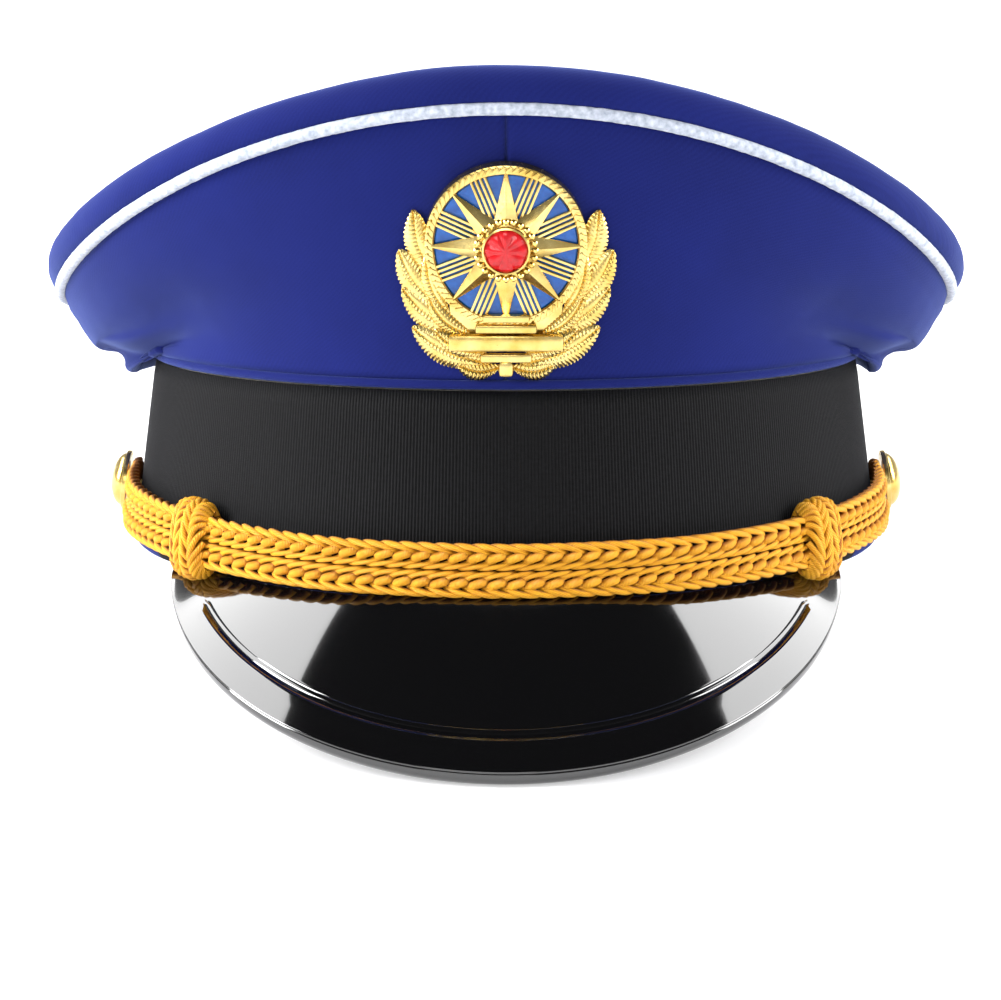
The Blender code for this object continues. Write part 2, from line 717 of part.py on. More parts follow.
def build_knot(name, side):
    """A slide that both rows pass through."""
    angle = side * KNOT_ANGLE
    out_way, up_way = strap_section(angle)
    along = out_way.cross(up_way).normalized()
    bore_half = ROW_THICK / 2 + KNOT_BORE_CLEAR
    bore_high = ROW_WIDTH + ROW_GAP / 2 + GAP
    middle = (KNOT_FRONT_WALL - KNOT_BACK_WALL) / 2
    frame = Matrix((along, out_way, up_way)).transposed().to_4x4()
    thick = 2 * bore_half + KNOT_FRONT_WALL + KNOT_BACK_WALL
    knot = block(name, (KNOT_LENGTH, thick, 2 * (bore_high + KNOT_SIDE_WALL)), PARTS)
    knot.matrix_local = Matrix.Translation(strap_point(angle, middle)) @ frame
    place(knot, GOLD_CORD)
    edge = knot.modifiers.new("round_edges", "BEVEL")
    edge.width = KNOT_BACK_WALL * 0.9
    edge.segments = 2
    bore = block(name + "_bore", (2 * KNOT_LENGTH, 2 * bore_half, 2 * bore_high), CUTTERS)
    bore.matrix_local = Matrix.Translation(strap_point(angle)) @ frame
    bore.parent = CAP_FRAME
    bore.hide_render = True
    bore.display_type = "WIRE"
    cut(knot, bore)


# ---------------------------------------------------------------- side buttons

def button_frame(side, out):
    """A frame whose Z is a button's axis, square to the band's side."""
    face = band_point(math.pi / 2, 0, STRAP_SIDE_HEIGHT).x
    turn = Matrix.Rotation(side * (math.pi / 2 - WALL_LEAN), 4, "Y")
    return Matrix.Translation((side * face, 0, STRAP_SIDE_HEIGHT)) @ turn @ Matrix.Translation((0, 0, out))


def dome_profile():
    """The button's front: a domed shell whose rim is turned back over the back plate."""
    rim = BUTTON_BACK
    outer = []
    inner = []
    for step in range(5):
        turn = math.pi / 2 * step / 4
        outer.append((BUTTON_RADIUS * math.sin(turn), rim + BUTTON_DOME * math.cos(turn)))
        inside = (BUTTON_RADIUS - BUTTON_WALL) * math.sin(turn)
        inner.append((inside, rim + (BUTTON_DOME - BUTTON_WALL) * math.cos(turn)))
    foot = [(BUTTON_RADIUS, 0), (BUTTON_RADIUS - BUTTON_WALL, 0)]
    return outer + foot + inner[::-1]


def build_button(name, side):
    base = STRAP_CLEAR + ROW_THICK + GAP
    inside = STIFFENER_INSET + STIFFENER_THICK
    washer_out = -inside - GAP
    pin_out = washer_out - WASHER_THICK - GAP - PIN_RADIUS
    stem_end = pin_out - PIN_RADIUS - GAP - STEM_TIP
    turned(name + "_button_dome", dome_profile(), button_frame(side, base), GOLD_METAL)
    disc = BUTTON_RADIUS - BUTTON_WALL - GAP
    stem = stem_end - base
    plate = [(0, BUTTON_BACK), (disc, BUTTON_BACK), (disc, 0)]
    plate += [(SHANK_RADIUS, 0), (SHANK_RADIUS, stem), (0, stem)]
    back = turned(name + "_button_back", plate, button_frame(side, base), GOLD_METAL)
    middle = button_frame(side, pin_out).translation
    across = Matrix.Translation(middle) @ Matrix.Rotation(math.pi / 2, 4, "X")
    cut(back, cylinder_cutter(name + "_pin_hole", PIN_RADIUS + GAP / 2, 4 * SHANK_RADIUS, across))
    hole = SHANK_RADIUS + GAP
    ring = [(WASHER_RADIUS, 0), (WASHER_RADIUS, -WASHER_THICK), (hole, -WASHER_THICK), (hole, 0)]
    turned(name + "_washer", ring, button_frame(side, washer_out), STEEL, closed=True)
    half = Vector((0, PIN_LENGTH / 2, 0))
    tube(name + "_split_pin", [middle - half, middle + half], PIN_RADIUS, STEEL, closed=False)


def drill_band(rings):
    for name, side in SIDES:
        length = 2 * (STIFFENER_INSET + STIFFENER_THICK)
        cutter = cylinder_cutter(name + "_shank_hole", SHANK_RADIUS + GAP, 2 * length, button_frame(side, 0))
        for ring in rings:
            cut(ring, cutter)


# ---------------------------------------------------------------- badge

def badge_seat():
    """Where the badge sits on the crown's front: its middle, the way up and the way out."""
    along = 0.5
    for _ in range(40):
        along += (BADGE_HEIGHT - panel_point(0, along).z) / (CROWN_SIDE_HEIGHT * 1.5)
    middle = panel_point(0, along)
    up = (panel_point(0, along + 0.05) - panel_point(0, along - 0.05)).normalized()
    return middle, up, Vector((1, 0, 0)).cross(up).normalized()


def badge_point(across, high, out):
    """A point of the badge, laid flat at (across, high) and then bent to the crown's curve."""
    middle, up, ahead = badge_seat()
    turn = across / BADGE_BEND
    reach = BADGE_BEND + out
    sideways = Vector((1, 0, 0)) * reach * math.sin(turn)
    return middle + sideways + ahead * (reach * math.cos(turn) - BADGE_BEND) + up * high * BADGE_STRETCH


def badge_disc(name, rings, material, spokes=24, high=0.0):
    """A solid of (radius, out) rings from its front pole to its back pole. radius may be a function."""
    rows = []
    for radius, out in rings:
        if radius == 0:
            rows.append([badge_point(0, high, out)])
            continue
        row = []
        for spoke in range(spokes):
            turn = 2 * math.pi * spoke / spokes
            reach = radius(spoke) if callable(radius) else radius
            row.append(badge_point(reach * math.sin(turn), high + reach * math.cos(turn), out))
        rows.append(row)
    return loft(name, rows, True, material)


def plain_disc(radius, front, back):
    middle = 0.55 * radius
    return [(0, front), (middle, front), (radius, front), (radius, back), (middle, back), (0, back)]


def build_wreath(front, back):
    """A crescent round the badge's sides and foot."""
    columns = 26
    start = math.radians(100)
    inner = BADGE_DISC_RADIUS - WREATH_LAP
    outer = BADGE_HALF_WIDTH
    middle = (outer + inner) / 2
    shoulder = mix(back, front, 0.4)
    rows = []
    tips = []
    for i in range(columns + 1):
        turn = mix(start, 2 * math.pi - start, i / columns)
        taper = mix(WREATH_END, 1, max(0, math.sin(math.pi * i / columns)) ** 0.4)
        half = (outer - inner) / 2 * taper
        section = ((-half, back), (half, back), (half, shoulder), (0, front), (-half, shoulder))
        across = [(middle + reach) * math.sin(turn) for reach, _ in section]
        high = [(middle + reach) * math.cos(turn) for reach, _ in section]
        rows.append([badge_point(x, y, out) for x, y, (_, out) in zip(across, high, section)])
        tips.append(badge_point(middle * math.sin(turn), middle * math.cos(turn), shoulder))
    return loft("badge_wreath", [[tips[0]], *rows, [tips[-1]]], True, GOLD_METAL)


def build_badge(drilled):
    """The badge's layers, its two screw posts and their nuts, and the holes that the posts pass through."""
    plate_back = BADGE_DISC_RADIUS**2 / (2 * BADGE_SEAT_RADIUS)
    plate_front = plate_back + BADGE_LAYER
    rise = BADGE_DISC_RISE
    badge_disc("badge_plate", plain_disc(BADGE_DISC_RADIUS, plate_front, plate_back), GOLD_METAL, high=rise)
    enamel_back = plate_front + GAP
    enamel_front = enamel_back + ENAMEL_THICK
    enamel_radius = BADGE_DISC_RADIUS - WREATH_LAP - GAP
    badge_disc("badge_enamel", plain_disc(enamel_radius, enamel_front, enamel_back), BLUE_ENAMEL, high=rise)
    build_wreath(enamel_back + WREATH_THICK, enamel_back)
    star_back = enamel_front + GAP
    star_front = star_back + ROSETTE_HEIGHT

    def star_radius(spoke):
        return ROSETTE_RADIUS * (0.5 if spoke % 2 else 1)

    star = [(0, star_front), (star_radius, star_back + ROSETTE_EDGE), (star_radius, star_back)]
    star += [(0.3 * ROSETTE_RADIUS, star_back), (0, star_back)]
    badge_disc("badge_rosette", star, GOLD_METAL, spokes=2 * ROSETTE_POINTS, high=rise)
    boss_back = star_front + GAP
    boss = [(0, boss_back + BOSS_HEIGHT), (0.6 * BOSS_RADIUS, boss_back + 0.8 * BOSS_HEIGHT)]
    boss += [(BOSS_RADIUS, boss_back + 0.4 * BOSS_HEIGHT), (BOSS_RADIUS, boss_back), (0, boss_back)]
    badge_disc("badge_boss", boss, RED_ENAMEL, spokes=20, high=rise)
    for name, side in SIDES:
        build_post(name, side, plate_back, drilled)


def build_post(name, side, plate_back, drilled):
    """A screw post and its nut, square to the badge where they stand."""
    across = side * POST_SPREAD
    foot = badge_point(across, 0, 0)
    out = (badge_point(across, 0, MM) - foot).normalized()
    turn = out.to_track_quat("Z", "Y").to_matrix().to_4x4()
    nut_out = -(CROWN_CLOTH + 2 * GAP + FRONT_PLATE_THICK + 2 * GAP)
    head = plate_back - GAP
    post_end = nut_out - NUT_THICK - POST_RADIUS
    frame = Matrix.Translation(foot) @ turn
    stem = [(0, head), (POST_RADIUS, head), (POST_RADIUS, post_end), (0, post_end)]
    turned(name + "_badge_post", stem, frame, GOLD_METAL, steps=16)
    hole = POST_RADIUS + GAP
    nut_end = nut_out - NUT_THICK
    ring = [(NUT_RADIUS, nut_out), (NUT_RADIUS, nut_end), (hole, nut_end), (hole, nut_out)]
    turned(name + "_badge_nut", ring, frame, GOLD_METAL, closed=True, steps=16)
    cutter = cylinder_cutter(name + "_post_hole", hole, 4 * abs(post_end), frame)
    for obj in drilled:
        cut(obj, cutter)


# ---------------------------------------------------------------- how it stands

def lowest(obj, graph, tilt, ahead):
    """The lowest corner of an object's front or rear half once the cap is tilted, in the cap's own frame."""
    mesh = obj.evaluated_get(graph).to_mesh()
    turn = Matrix.Rotation(tilt, 3, "X")
    corners = [vertex.co.copy() for vertex in mesh.vertices if (vertex.co.y < 0) == ahead]
    return min(corners, key=lambda corner: (turn @ corner).z)


def set_down():
    """Tilts the cap until the visor's edge and the band's rear edge both touch z = 0, and centres it."""
    graph = bpy.context.evaluated_depsgraph_get()
    tilt = 0
    for _ in range(6):
        front = lowest(PARTS.objects["visor_trim"], graph, tilt, True)
        rear = lowest(PARTS.objects["band_cloth"], graph, tilt, False)
        tilt = -math.atan2(rear.z - front.z, rear.y - front.y)
    turn = Matrix.Rotation(tilt, 3, "X")
    lengths = []
    for obj in PARTS.objects:
        if obj.type != "EMPTY":
            mesh = obj.evaluated_get(graph).to_mesh()
            placed = turn.to_4x4() @ obj.matrix_local
            lengths += [(placed @ vertex.co).y for vertex in mesh.vertices]
    CAP_FRAME.rotation_euler = (tilt, 0, 0)
    CAP_FRAME.location = (0, -(min(lengths) + max(lengths)) / 2, -(turn @ rear).z)


band_rings = build_band()
drill_band(band_rings)
front_panels = build_crown()
front_plate = build_crown_inside()
build_lining()
build_visor()
build_trim()
build_strap()
for side_name, side_sign in SIDES:
    build_knot(side_name + "_knot", side_sign)
    build_button(side_name, side_sign)
build_badge([*front_panels, front_plate])
set_down()
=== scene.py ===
"""The looks of the peaked cap: cloth, ribbed band, moulded visor, plaited cord, knots, buttons and badge."""

import json
import math

import bmesh
import bpy
from mathutils import Matrix, Vector, noise


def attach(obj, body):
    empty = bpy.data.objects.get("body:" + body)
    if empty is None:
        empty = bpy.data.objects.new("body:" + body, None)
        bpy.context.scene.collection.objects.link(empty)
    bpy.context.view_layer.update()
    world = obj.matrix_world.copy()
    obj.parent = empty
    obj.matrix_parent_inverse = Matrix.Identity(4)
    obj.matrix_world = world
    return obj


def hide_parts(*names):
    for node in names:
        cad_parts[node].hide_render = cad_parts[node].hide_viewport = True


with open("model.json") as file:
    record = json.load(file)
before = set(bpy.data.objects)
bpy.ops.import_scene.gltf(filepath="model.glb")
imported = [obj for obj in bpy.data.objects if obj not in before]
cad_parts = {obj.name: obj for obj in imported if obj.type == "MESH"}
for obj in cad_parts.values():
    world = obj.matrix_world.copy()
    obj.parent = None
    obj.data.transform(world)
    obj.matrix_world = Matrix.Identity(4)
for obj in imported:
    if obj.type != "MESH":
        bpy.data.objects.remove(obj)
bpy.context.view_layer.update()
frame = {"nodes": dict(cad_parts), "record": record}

MM = 0.001
GAP = 0.35 * MM

# The same driving sizes as the CAD, in the cap's own frame: the front is -Y, the band's lower edge is z = 0.
BAND_HALF_WIDTH = 94.5 * MM
BAND_HALF_LENGTH = 106 * MM
BAND_HEIGHT = 48 * MM
BAND_TAPER = 6 * MM
RIBBED_THICK = 0.8 * MM
RIBBED_BOTTOM = 7 * MM
CLOTH_THICK = 0.9 * MM
HEM_WIDTH = 2.4 * MM
HEM_BULGE = 0.7 * MM
STIFFENER_THICK = 1.1 * MM
PIN_ROOM = 3.3 * MM
SWEATBAND_THICK = 0.9 * MM
SWEATBAND_HEIGHT = BAND_HEIGHT - 10 * MM
SWEATBAND_TURN = 8 * MM
WELT_RADIUS = 1.1 * MM
CROWN_HALF_WIDTH = BAND_HALF_WIDTH + 17.9 * MM
CROWN_HALF_LENGTH = BAND_HALF_LENGTH + 11 * MM
CROWN_SHIFT = 1 * MM
CROWN_SIDE_HEIGHT = BAND_HEIGHT + 11 * MM
CROWN_FRONT_RISE = 51.5 * MM
CROWN_REAR_RISE = 3 * MM
CROWN_RISE_START = 15 * MM
CROWN_RISE_POWER = 1.6
CROWN_CLOTH = 1.0 * MM
SEAM_RISE = 2.8 * MM
PIPING_RADIUS = 1.8 * MM
PIPING_SEEN = 1.5 * MM  # smaller than in the CAD on purpose, because the cloth hides part of it
ROLL_FRONT = 5.2 * MM
ROLL_SIDE = 6.6 * MM
ROLL_START = math.radians(-25)
LINING_INSET = 5.5 * MM
LINING_THICK = 0.6 * MM
LINING_DROP = 9 * MM
VISOR_HALF_WIDTH = BAND_HALF_WIDTH - 14.5 * MM
VISOR_EAR = math.asin(VISOR_HALF_WIDTH / BAND_HALF_WIDTH)
VISOR_ROOT = -BAND_HALF_LENGTH * math.cos(VISOR_EAR) - 3.6 * MM
VISOR_REACH = BAND_HALF_LENGTH + 33 * MM + VISOR_ROOT
VISOR_ROOT_INSET = 0.2 * MM
VISOR_DROP = 35 * MM
VISOR_THICK = 1.6 * MM
VISOR_BULGE = 0.9 * MM  # flatter than in the CAD on purpose, so that it doesn't mirror the badge
TRIM_WIDTH = 2.4 * MM
TRIM_WALL = 0.6 * MM
TRIM_CLEAR = 0.5 * MM
TRIM_END = 0.93
STRAP_SIDE_HEIGHT = 13.4 * MM
STRAP_FRONT_HEIGHT = 6.4 * MM
ROW_WIDTH = 6.2 * MM
ROW_THICK = 3 * MM
ROW_GAP = 0.4 * MM
STRAP_CLEAR = 0.4 * MM
KNOT_CLEAR = 2.1 * MM
KNOT_ANGLE = math.radians(49)
KNOT_LENGTH = 12.5 * MM
KNOT_BORE_CLEAR = 0.55 * MM
LOOP_RADIUS = 6.2 * MM
BUTTON_RADIUS = 7.5 * MM
BUTTON_DOME = 3.6 * MM
BUTTON_WALL = 0.5 * MM
BUTTON_BACK = 0.9 * MM
BAND_FRONT_RADIUS = BAND_HALF_WIDTH**2 / BAND_HALF_LENGTH
CROWN_FRONT_RADIUS = CROWN_HALF_WIDTH**2 / CROWN_HALF_LENGTH
BADGE_BEND = (BAND_FRONT_RADIUS + CROWN_FRONT_RADIUS) / 2 - 4 * MM
BADGE_STRETCH = 1.08
BADGE_DISC_RADIUS = 19.6 * MM
BADGE_DISC_RISE = 3.6 * MM
BADGE_HALF_WIDTH = BADGE_DISC_RADIUS + 4 * MM
BADGE_HEIGHT = BAND_HEIGHT + 1.5 * MM + BADGE_HALF_WIDTH * BADGE_STRETCH
BADGE_LAYER = 1.1 * MM
ENAMEL_THICK = 0.5 * MM
ROSETTE_POINTS = 8
ROSETTE_HEIGHT = 1.9 * MM
BOSS_RADIUS = 5.2 * MM
BOSS_HEIGHT = 1.4 * MM

SIDES = (("left", 1), ("right", -1))
UP = Vector((0, 0, 1))


def cap_frame():
    """The cap's own frame in the world, from the mount in its mouth."""
    mouth = next(mount for mount in frame["record"]["mounts"] if mount["name"] == "head_opening")
    tilt = math.atan2(mouth["axis"][1], -mouth["axis"][2])
    return Matrix.Translation(mouth["pos_m"]) @ Matrix.Rotation(tilt, 4, "X")


CAP = cap_frame()


# ---------------------------------------------------------------- camera, lights, floor

VIEW_DISTANCE = 0.9
VIEW_OVER_BAND = math.radians(8)  # the camera's height over the band's own plane
LENS = 126
SENSOR = 36


def aim(obj, place, target):
    obj.location = place
    obj.rotation_euler = (target - Vector(place)).to_track_quat("-Z", "Y").to_euler()


def set_camera():
    camera = bpy.data.objects.new("camera", bpy.data.cameras.new("camera"))
    bpy.context.scene.collection.objects.link(camera)
    back = Vector((0, -math.cos(VIEW_OVER_BAND), math.sin(VIEW_OVER_BAND)))
    aim(camera, CAP @ (back * VIEW_DISTANCE), CAP @ Vector())
    camera.data.lens = LENS
    camera.data.sensor_width = SENSOR
    camera.data.shift_x = -0.0055
    camera.data.shift_y = 0.033
    bpy.context.scene.camera = camera


def softbox(name, place, target, width, height, power):
    light = bpy.data.lights.new(name, "AREA")
    light.shape = "RECTANGLE"
    light.size = width
    light.size_y = height
    light.energy = power
    obj = bpy.data.objects.new(name, light)
    bpy.context.scene.collection.objects.link(obj)
    aim(obj, place, Vector(target))


def around(azimuth, height, distance):
    """A place seen from the cap at an azimuth from its front and a height over the level, both in degrees."""
    turn, rise = math.radians(azimuth), math.radians(height)
    level = distance * math.cos(rise)
    return level * math.sin(turn), -level * math.cos(turn), distance * math.sin(rise)


def set_world():
    """A studio with pale walls and a dark ceiling, so the visor's middle has nothing bright to mirror."""
    world = bpy.data.worlds.new("studio")
    world.use_nodes = True
    tree = world.node_tree
    height = add(tree, "SeparateXYZ", {0: add(tree, "TexCoord").outputs["Generated"]}).outputs["Z"]
    spread = {"Value": height, "From Min": 0.15, "From Max": 0.75, "To Min": 0.6, "To Max": 0.03}
    fall = add(tree, "MapRange", spread)
    tree.links.new(fall.outputs[0], tree.nodes["Background"].inputs["Strength"])
    tree.nodes["Background"].inputs["Color"].default_value = (1, 1, 1, 1)
    bpy.context.scene.world = world
    bpy.context.scene.view_settings.view_transform = "Standard"


# Each softbox's azimuth, height and distance, the height it is aimed at, its width and height, and its power.
SOFTBOXES = {
    "rear_left_softbox": ((-120, 48, 1.2), 0.05, (0.95, 0.55), 10),
    "rear_right_softbox": ((120, 48, 1.2), 0.05, (0.95, 0.55), 10),
    "left_key": ((-80, 28, 1.3), 0.08, (0.5, 0.8), 30),
    "right_fill": ((80, 26, 1.3), 0.08, (0.5, 0.8), 17),
    "front_fill": ((-8, 22, 1.8), 0.08, (1.0, 0.4), 6),
}


def set_studio():
    """Two big softboxes behind the cap, left and right, a key at the left and a weak fill in front."""
    for name, (place, aimed, size, power) in SOFTBOXES.items():
        softbox(name, around(*place), (0, 0, aimed), *size, power)
    set_world()
    bpy.ops.mesh.primitive_plane_add(size=30)
    floor = bpy.context.object
    floor.name = "floor"
    floor.data.materials.append(OPAL_FLOOR)


# ---------------------------------------------------------------- materials

def colour(code):
    """An sRGB hex colour as linear RGBA."""
    values = [int(code[i:i + 2], 16) / 255 for i in (1, 3, 5)]
    return (*[v / 12.92 if v <= 0.04045 else ((v + 0.055) / 1.055) ** 2.4 for v in values], 1)


def add(tree, kind, inputs=None, **settings):
    """Adds a node with its settings. An input is a value or a socket to link."""
    node = tree.nodes.new("ShaderNode" + kind)
    for name, value in settings.items():
        setattr(node, name, value)
    for name, value in (inputs or {}).items():
        if isinstance(value, bpy.types.NodeSocket):
            tree.links.new(value, node.inputs[name])
        else:
            node.inputs[name].default_value = value
    return node


def shader(name, **inputs):
    """A new material with its Principled shader, whose inputs are given in words_with_lines."""
    material = bpy.data.materials.new(name)
    material.use_nodes = True
    tree = material.node_tree
    principled = tree.nodes["Principled BSDF"]
    for word, value in inputs.items():
        principled.inputs[word.replace("_", " ").title().replace("Ior", "IOR")].default_value = value
    return material, tree, principled


def mottle(tree, coords, scale, dark, light, detail=4.0):
    """A colour that drifts between two, over noise of that scale."""
    drift = add(tree, "TexNoise", {"Vector": coords, "Scale": scale, "Detail": detail})
    spread = add(tree, "MapRange", {"Value": drift.outputs["Fac"], "From Min": 0.3, "From Max": 0.7})
    return add(tree, "Mix", {0: spread.outputs[0], 6: dark, 7: light}, data_type="RGBA").outputs[2]


def wool_twill():
    """Wool-blend twill, woven: fine diagonal lines, a soft nap and a faint sheen at the edges."""
    sheen = {"sheen_weight": 0.3, "sheen_roughness": 0.4, "sheen_tint": colour("#9cb4ff")}
    material, tree, cloth = shader("wool_twill_woven", roughness=0.85, specular_ior_level=0.08, **sheen)
    coords = add(tree, "TexCoord").outputs["UV"]
    # The twill lines are 0.5 mm apart here, drawn twice as coarse as the real ones so that they show.
    slant = add(tree, "Mapping", {"Vector": coords, "Rotation": (0, 0, math.radians(55))})
    wave = {"Vector": slant.outputs[0], "Scale": 320, "Distortion": 1.2, "Detail Scale": 3.0}
    lines = add(tree, "TexWave", wave)
    nap = add(tree, "TexNoise", {"Vector": coords, "Scale": 2600, "Detail": 3})
    relief = add(tree, "Mix", {0: 0.8, 2: lines.outputs["Fac"], 3: nap.outputs["Fac"]})
    base = mottle(tree, coords, 22, colour("#0d134a"), colour("#111959"))
    flecks = add(tree, "Mix", {0: relief.outputs[0], 6: base, 7: colour("#243080")}, data_type="RGBA")
    tinted = add(tree, "Mix", {0: 0.35, 6: base, 7: flecks.outputs[2]}, data_type="RGBA")
    tree.links.new(tinted.outputs[2], cloth.inputs["Base Color"])
    bump = add(tree, "Bump", {"Height": relief.outputs[0], "Distance": 0.00006, "Strength": 0.7})
    tree.links.new(bump.outputs[0], cloth.inputs["Normal"])
    return material


def white_felt():
    """Wool felt, fulled: matt white with short loose fibres."""
    material, tree, felt = shader("white_wool_felt", roughness=0.95, specular_ior_level=0.2, sheen_weight=0.3)
    coords = add(tree, "TexCoord").outputs["Object"]
    tree.links.new(mottle(tree, coords, 700, colour("#949dad"), colour("#ccd2de")), felt.inputs["Base Color"])
    fibres = add(tree, "TexNoise", {"Vector": coords, "Scale": 1800, "Detail": 5})
    bump = add(tree, "Bump", {"Height": fibres.outputs["Fac"], "Distance": 0.0002, "Strength": 0.8})
    tree.links.new(bump.outputs[0], felt.inputs["Normal"])
    return material


def ribbed_ribbon():
    """Mohair-braid ribbon, woven with upright ribs: near black, with a dry grey nap at a low angle."""
    sheen = {"sheen_weight": 0.13, "sheen_roughness": 0.4, "sheen_tint": colour("#c8cad2")}
    material, tree, ribbon = shader("black_ribbed_ribbon", roughness=0.7, specular_ior_level=0.12, **sheen)
    coords = add(tree, "TexCoord").outputs["UV"]
    # The cross threads are 0.4 mm apart.
    stretched = add(tree, "Mapping", {"Vector": coords, "Scale": (1, 2.2, 1)})
    threads = add(tree, "TexNoise", {"Vector": stretched.outputs[0], "Scale": 1500, "Detail": 4})
    base = mottle(tree, stretched.outputs[0], 600, colour("#050506"), colour("#0e0e10"))
    tree.links.new(base, ribbon.inputs["Base Color"])
    bump = add(tree, "Bump", {"Height": threads.outputs["Fac"], "Distance": 0.00012, "Strength": 0.6})
    tree.links.new(bump.outputs[0], ribbon.inputs["Normal"])
    return material


def visor_plastic():
    """PVC sheet, press-moulded and polished: deep black with a mirror gloss and faint handling marks."""
    gloss = {"ior": 1.54, "coat_weight": 1.0, "coat_roughness": 0.03}
    material, tree, plastic = shader("black_pvc_polished", base_color=colour("#050506"), **gloss)
    coords = add(tree, "TexCoord").outputs["Object"]
    haze = add(tree, "TexNoise", {"Vector": coords, "Scale": 60, "Detail": 6})
    rough = add(tree, "MapRange", {"Value": haze.outputs["Fac"], "To Min": 0.04, "To Max": 0.12})
    tree.links.new(rough.outputs[0], plastic.inputs["Roughness"])
    ripple = add(tree, "TexNoise", {"Vector": coords, "Scale": 45, "Detail": 1})
    bump = add(tree, "Bump", {"Height": ripple.outputs["Fac"], "Distance": 0.00025, "Strength": 0.35})
    tree.links.new(bump.outputs[0], plastic.inputs["Normal"])
    return material


def rayon_cord():
    """Rayon cord, twisted: fine golden threads wind along each strand, lemon where light grazes them, with
    painted shade down between the strands.
    """
    sheen = {"sheen_weight": 0.2, "sheen_roughness": 0.35, "sheen_tint": colour("#ffe070")}
    material, tree, cord = shader("golden_rayon_twisted", roughness=0.5, specular_ior_level=0.35, **sheen)
    coords = add(tree, "TexCoord").outputs["UV"]
    # Threads 0.35 mm apart, 20 degrees off the strand's own line.
    twist = add(tree, "Mapping", {"Vector": coords, "Rotation": (0, 0, math.radians(20))})
    wave = {"Vector": twist.outputs[0], "Scale": 900, "Distortion": 1.5}
    threads = add(tree, "TexWave", wave, bands_direction="Y")
    place = add(tree, "TexCoord").outputs["Object"]
    base = mottle(tree, place, 260, colour("#e8980c"), colour("#ffb81c"))
    strand = {0: threads.outputs["Fac"], 6: colour("#b86808"), 7: colour("#ffc83a")}
    lit = add(tree, "Mix", strand, data_type="RGBA")
    mixed = add(tree, "Mix", {0: 0.45, 6: base, 7: lit.outputs[2]}, data_type="RGBA")
    # Painted shade: the colour turns dark orange down between the strands, where they face inwards, and stays
    # golden on their crests.
    crest = add(tree, "Attribute", attribute_name="crest").outputs["Fac"]
    painted_shade = add(tree, "Mix", {0: crest, 6: colour("#8f4503"), 7: mixed.outputs[2]}, data_type="RGBA")
    tree.links.new(painted_shade.outputs[2], cord.inputs["Base Color"])
    bump = add(tree, "Bump", {"Height": threads.outputs["Fac"], "Distance": 0.00015, "Strength": 0.8})
    tree.links.new(bump.outputs[0], cord.inputs["Normal"])
    return material


def gilt_brass():
    """Brass, stamped and gilt: bright yellow gold, a little softer in the hollows."""
    material, tree, gilt = shader("gilt_brass_stamped", metallic=1.0, roughness=0.2)
    coords = add(tree, "TexCoord").outputs["Object"]
    tree.links.new(mottle(tree, coords, 160, colour("#cfad58"), colour("#ebd38c")), gilt.inputs["Base Color"])
    wear = add(tree, "TexNoise", {"Vector": coords, "Scale": 900, "Detail": 4})
    rough = add(tree, "MapRange", {"Value": wear.outputs["Fac"], "To Min": 0.12, "To Max": 0.34})
    tree.links.new(rough.outputs[0], gilt.inputs["Roughness"])
    bump = add(tree, "Bump", {"Height": wear.outputs["Fac"], "Distance": 0.00004, "Strength": 0.5})
    tree.links.new(bump.outputs[0], gilt.inputs["Normal"])
    return material


def enamel(name, dark, light):
    """Enamel, fired and polished: glassy colour with a slight cloud in it."""
    gloss = {"specular_ior_level": 0.3, "coat_weight": 0.4, "coat_roughness": 0.04}
    material, tree, glaze = shader(name, roughness=0.15, **gloss)
    coords = add(tree, "TexCoord").outputs["Object"]
    tree.links.new(mottle(tree, coords, 500, colour(dark), colour(light)), glaze.inputs["Base Color"])
    return material


def plain(name, dark, light, grain, roughness, relief, **inputs):
    """A finish whose colour and relief drift over grain of one size, given in metres."""
    material, tree, principled = shader(name, roughness=roughness, **inputs)
    coords = add(tree, "TexCoord").outputs["Object"]
    scale = 1 / grain
    tree.links.new(mottle(tree, coords, scale, colour(dark), colour(light)), principled.inputs["Base Color"])
    grains = add(tree, "TexNoise", {"Vector": coords, "Scale": scale, "Detail": 5})
    bump = add(tree, "Bump", {"Height": grains.outputs["Fac"], "Distance": relief, "Strength": 0.8})
    tree.links.new(bump.outputs[0], principled.inputs["Normal"])
    return material


WOOL = wool_twill()
FELT = white_felt()
RIBBON = ribbed_ribbon()
PLASTIC = visor_plastic()
CORD = rayon_cord()
GILT = gilt_brass()
BLUE_ENAMEL = enamel("blue_enamel_fired", "#084a9e", "#0f62be")
RED_ENAMEL = enamel("red_enamel_fired", "#b00612", "#d80f1a")
# Spring steel, drawn and rolled: grey metal with fine marks.
STEEL = plain("spring_steel_drawn", "#8d8f94", "#b4b6ba", 0.4 * MM, 0.35, 0.02 * MM, metallic=1.0)
# Pressed fibre board: off-white, matt and slightly fibrous.
BOARD = plain("fibre_board_pressed", "#bdb6a4", "#d8d2c2", 0.8 * MM, 0.9, 0.05 * MM)
# Cotton wadding, carded: off-white and soft.
WADDING = plain("cotton_wadding_carded", "#c9c7c0", "#e6e4de", 1.5 * MM, 1.0, 0.4 * MM)
# Sheepskin leather, glazed: brown, with a fine pebbled grain.
LEATHER = plain("sheepskin_leather_glazed", "#4a2b1b", "#6b4128", 0.9 * MM, 0.5, 0.08 * MM)
# Acetate satin, woven: dark blue with a smooth gloss.
SATIN = plain("acetate_satin_woven", "#10163f", "#1b2458", 0.5 * MM, 0.38, 0.03 * MM)
# Clear PVC film, calendered.
FILM = plain("clear_pvc_calendered", "#aab2b8", "#c4cbd0", 6 * MM, 0.15, 0.1 * MM)
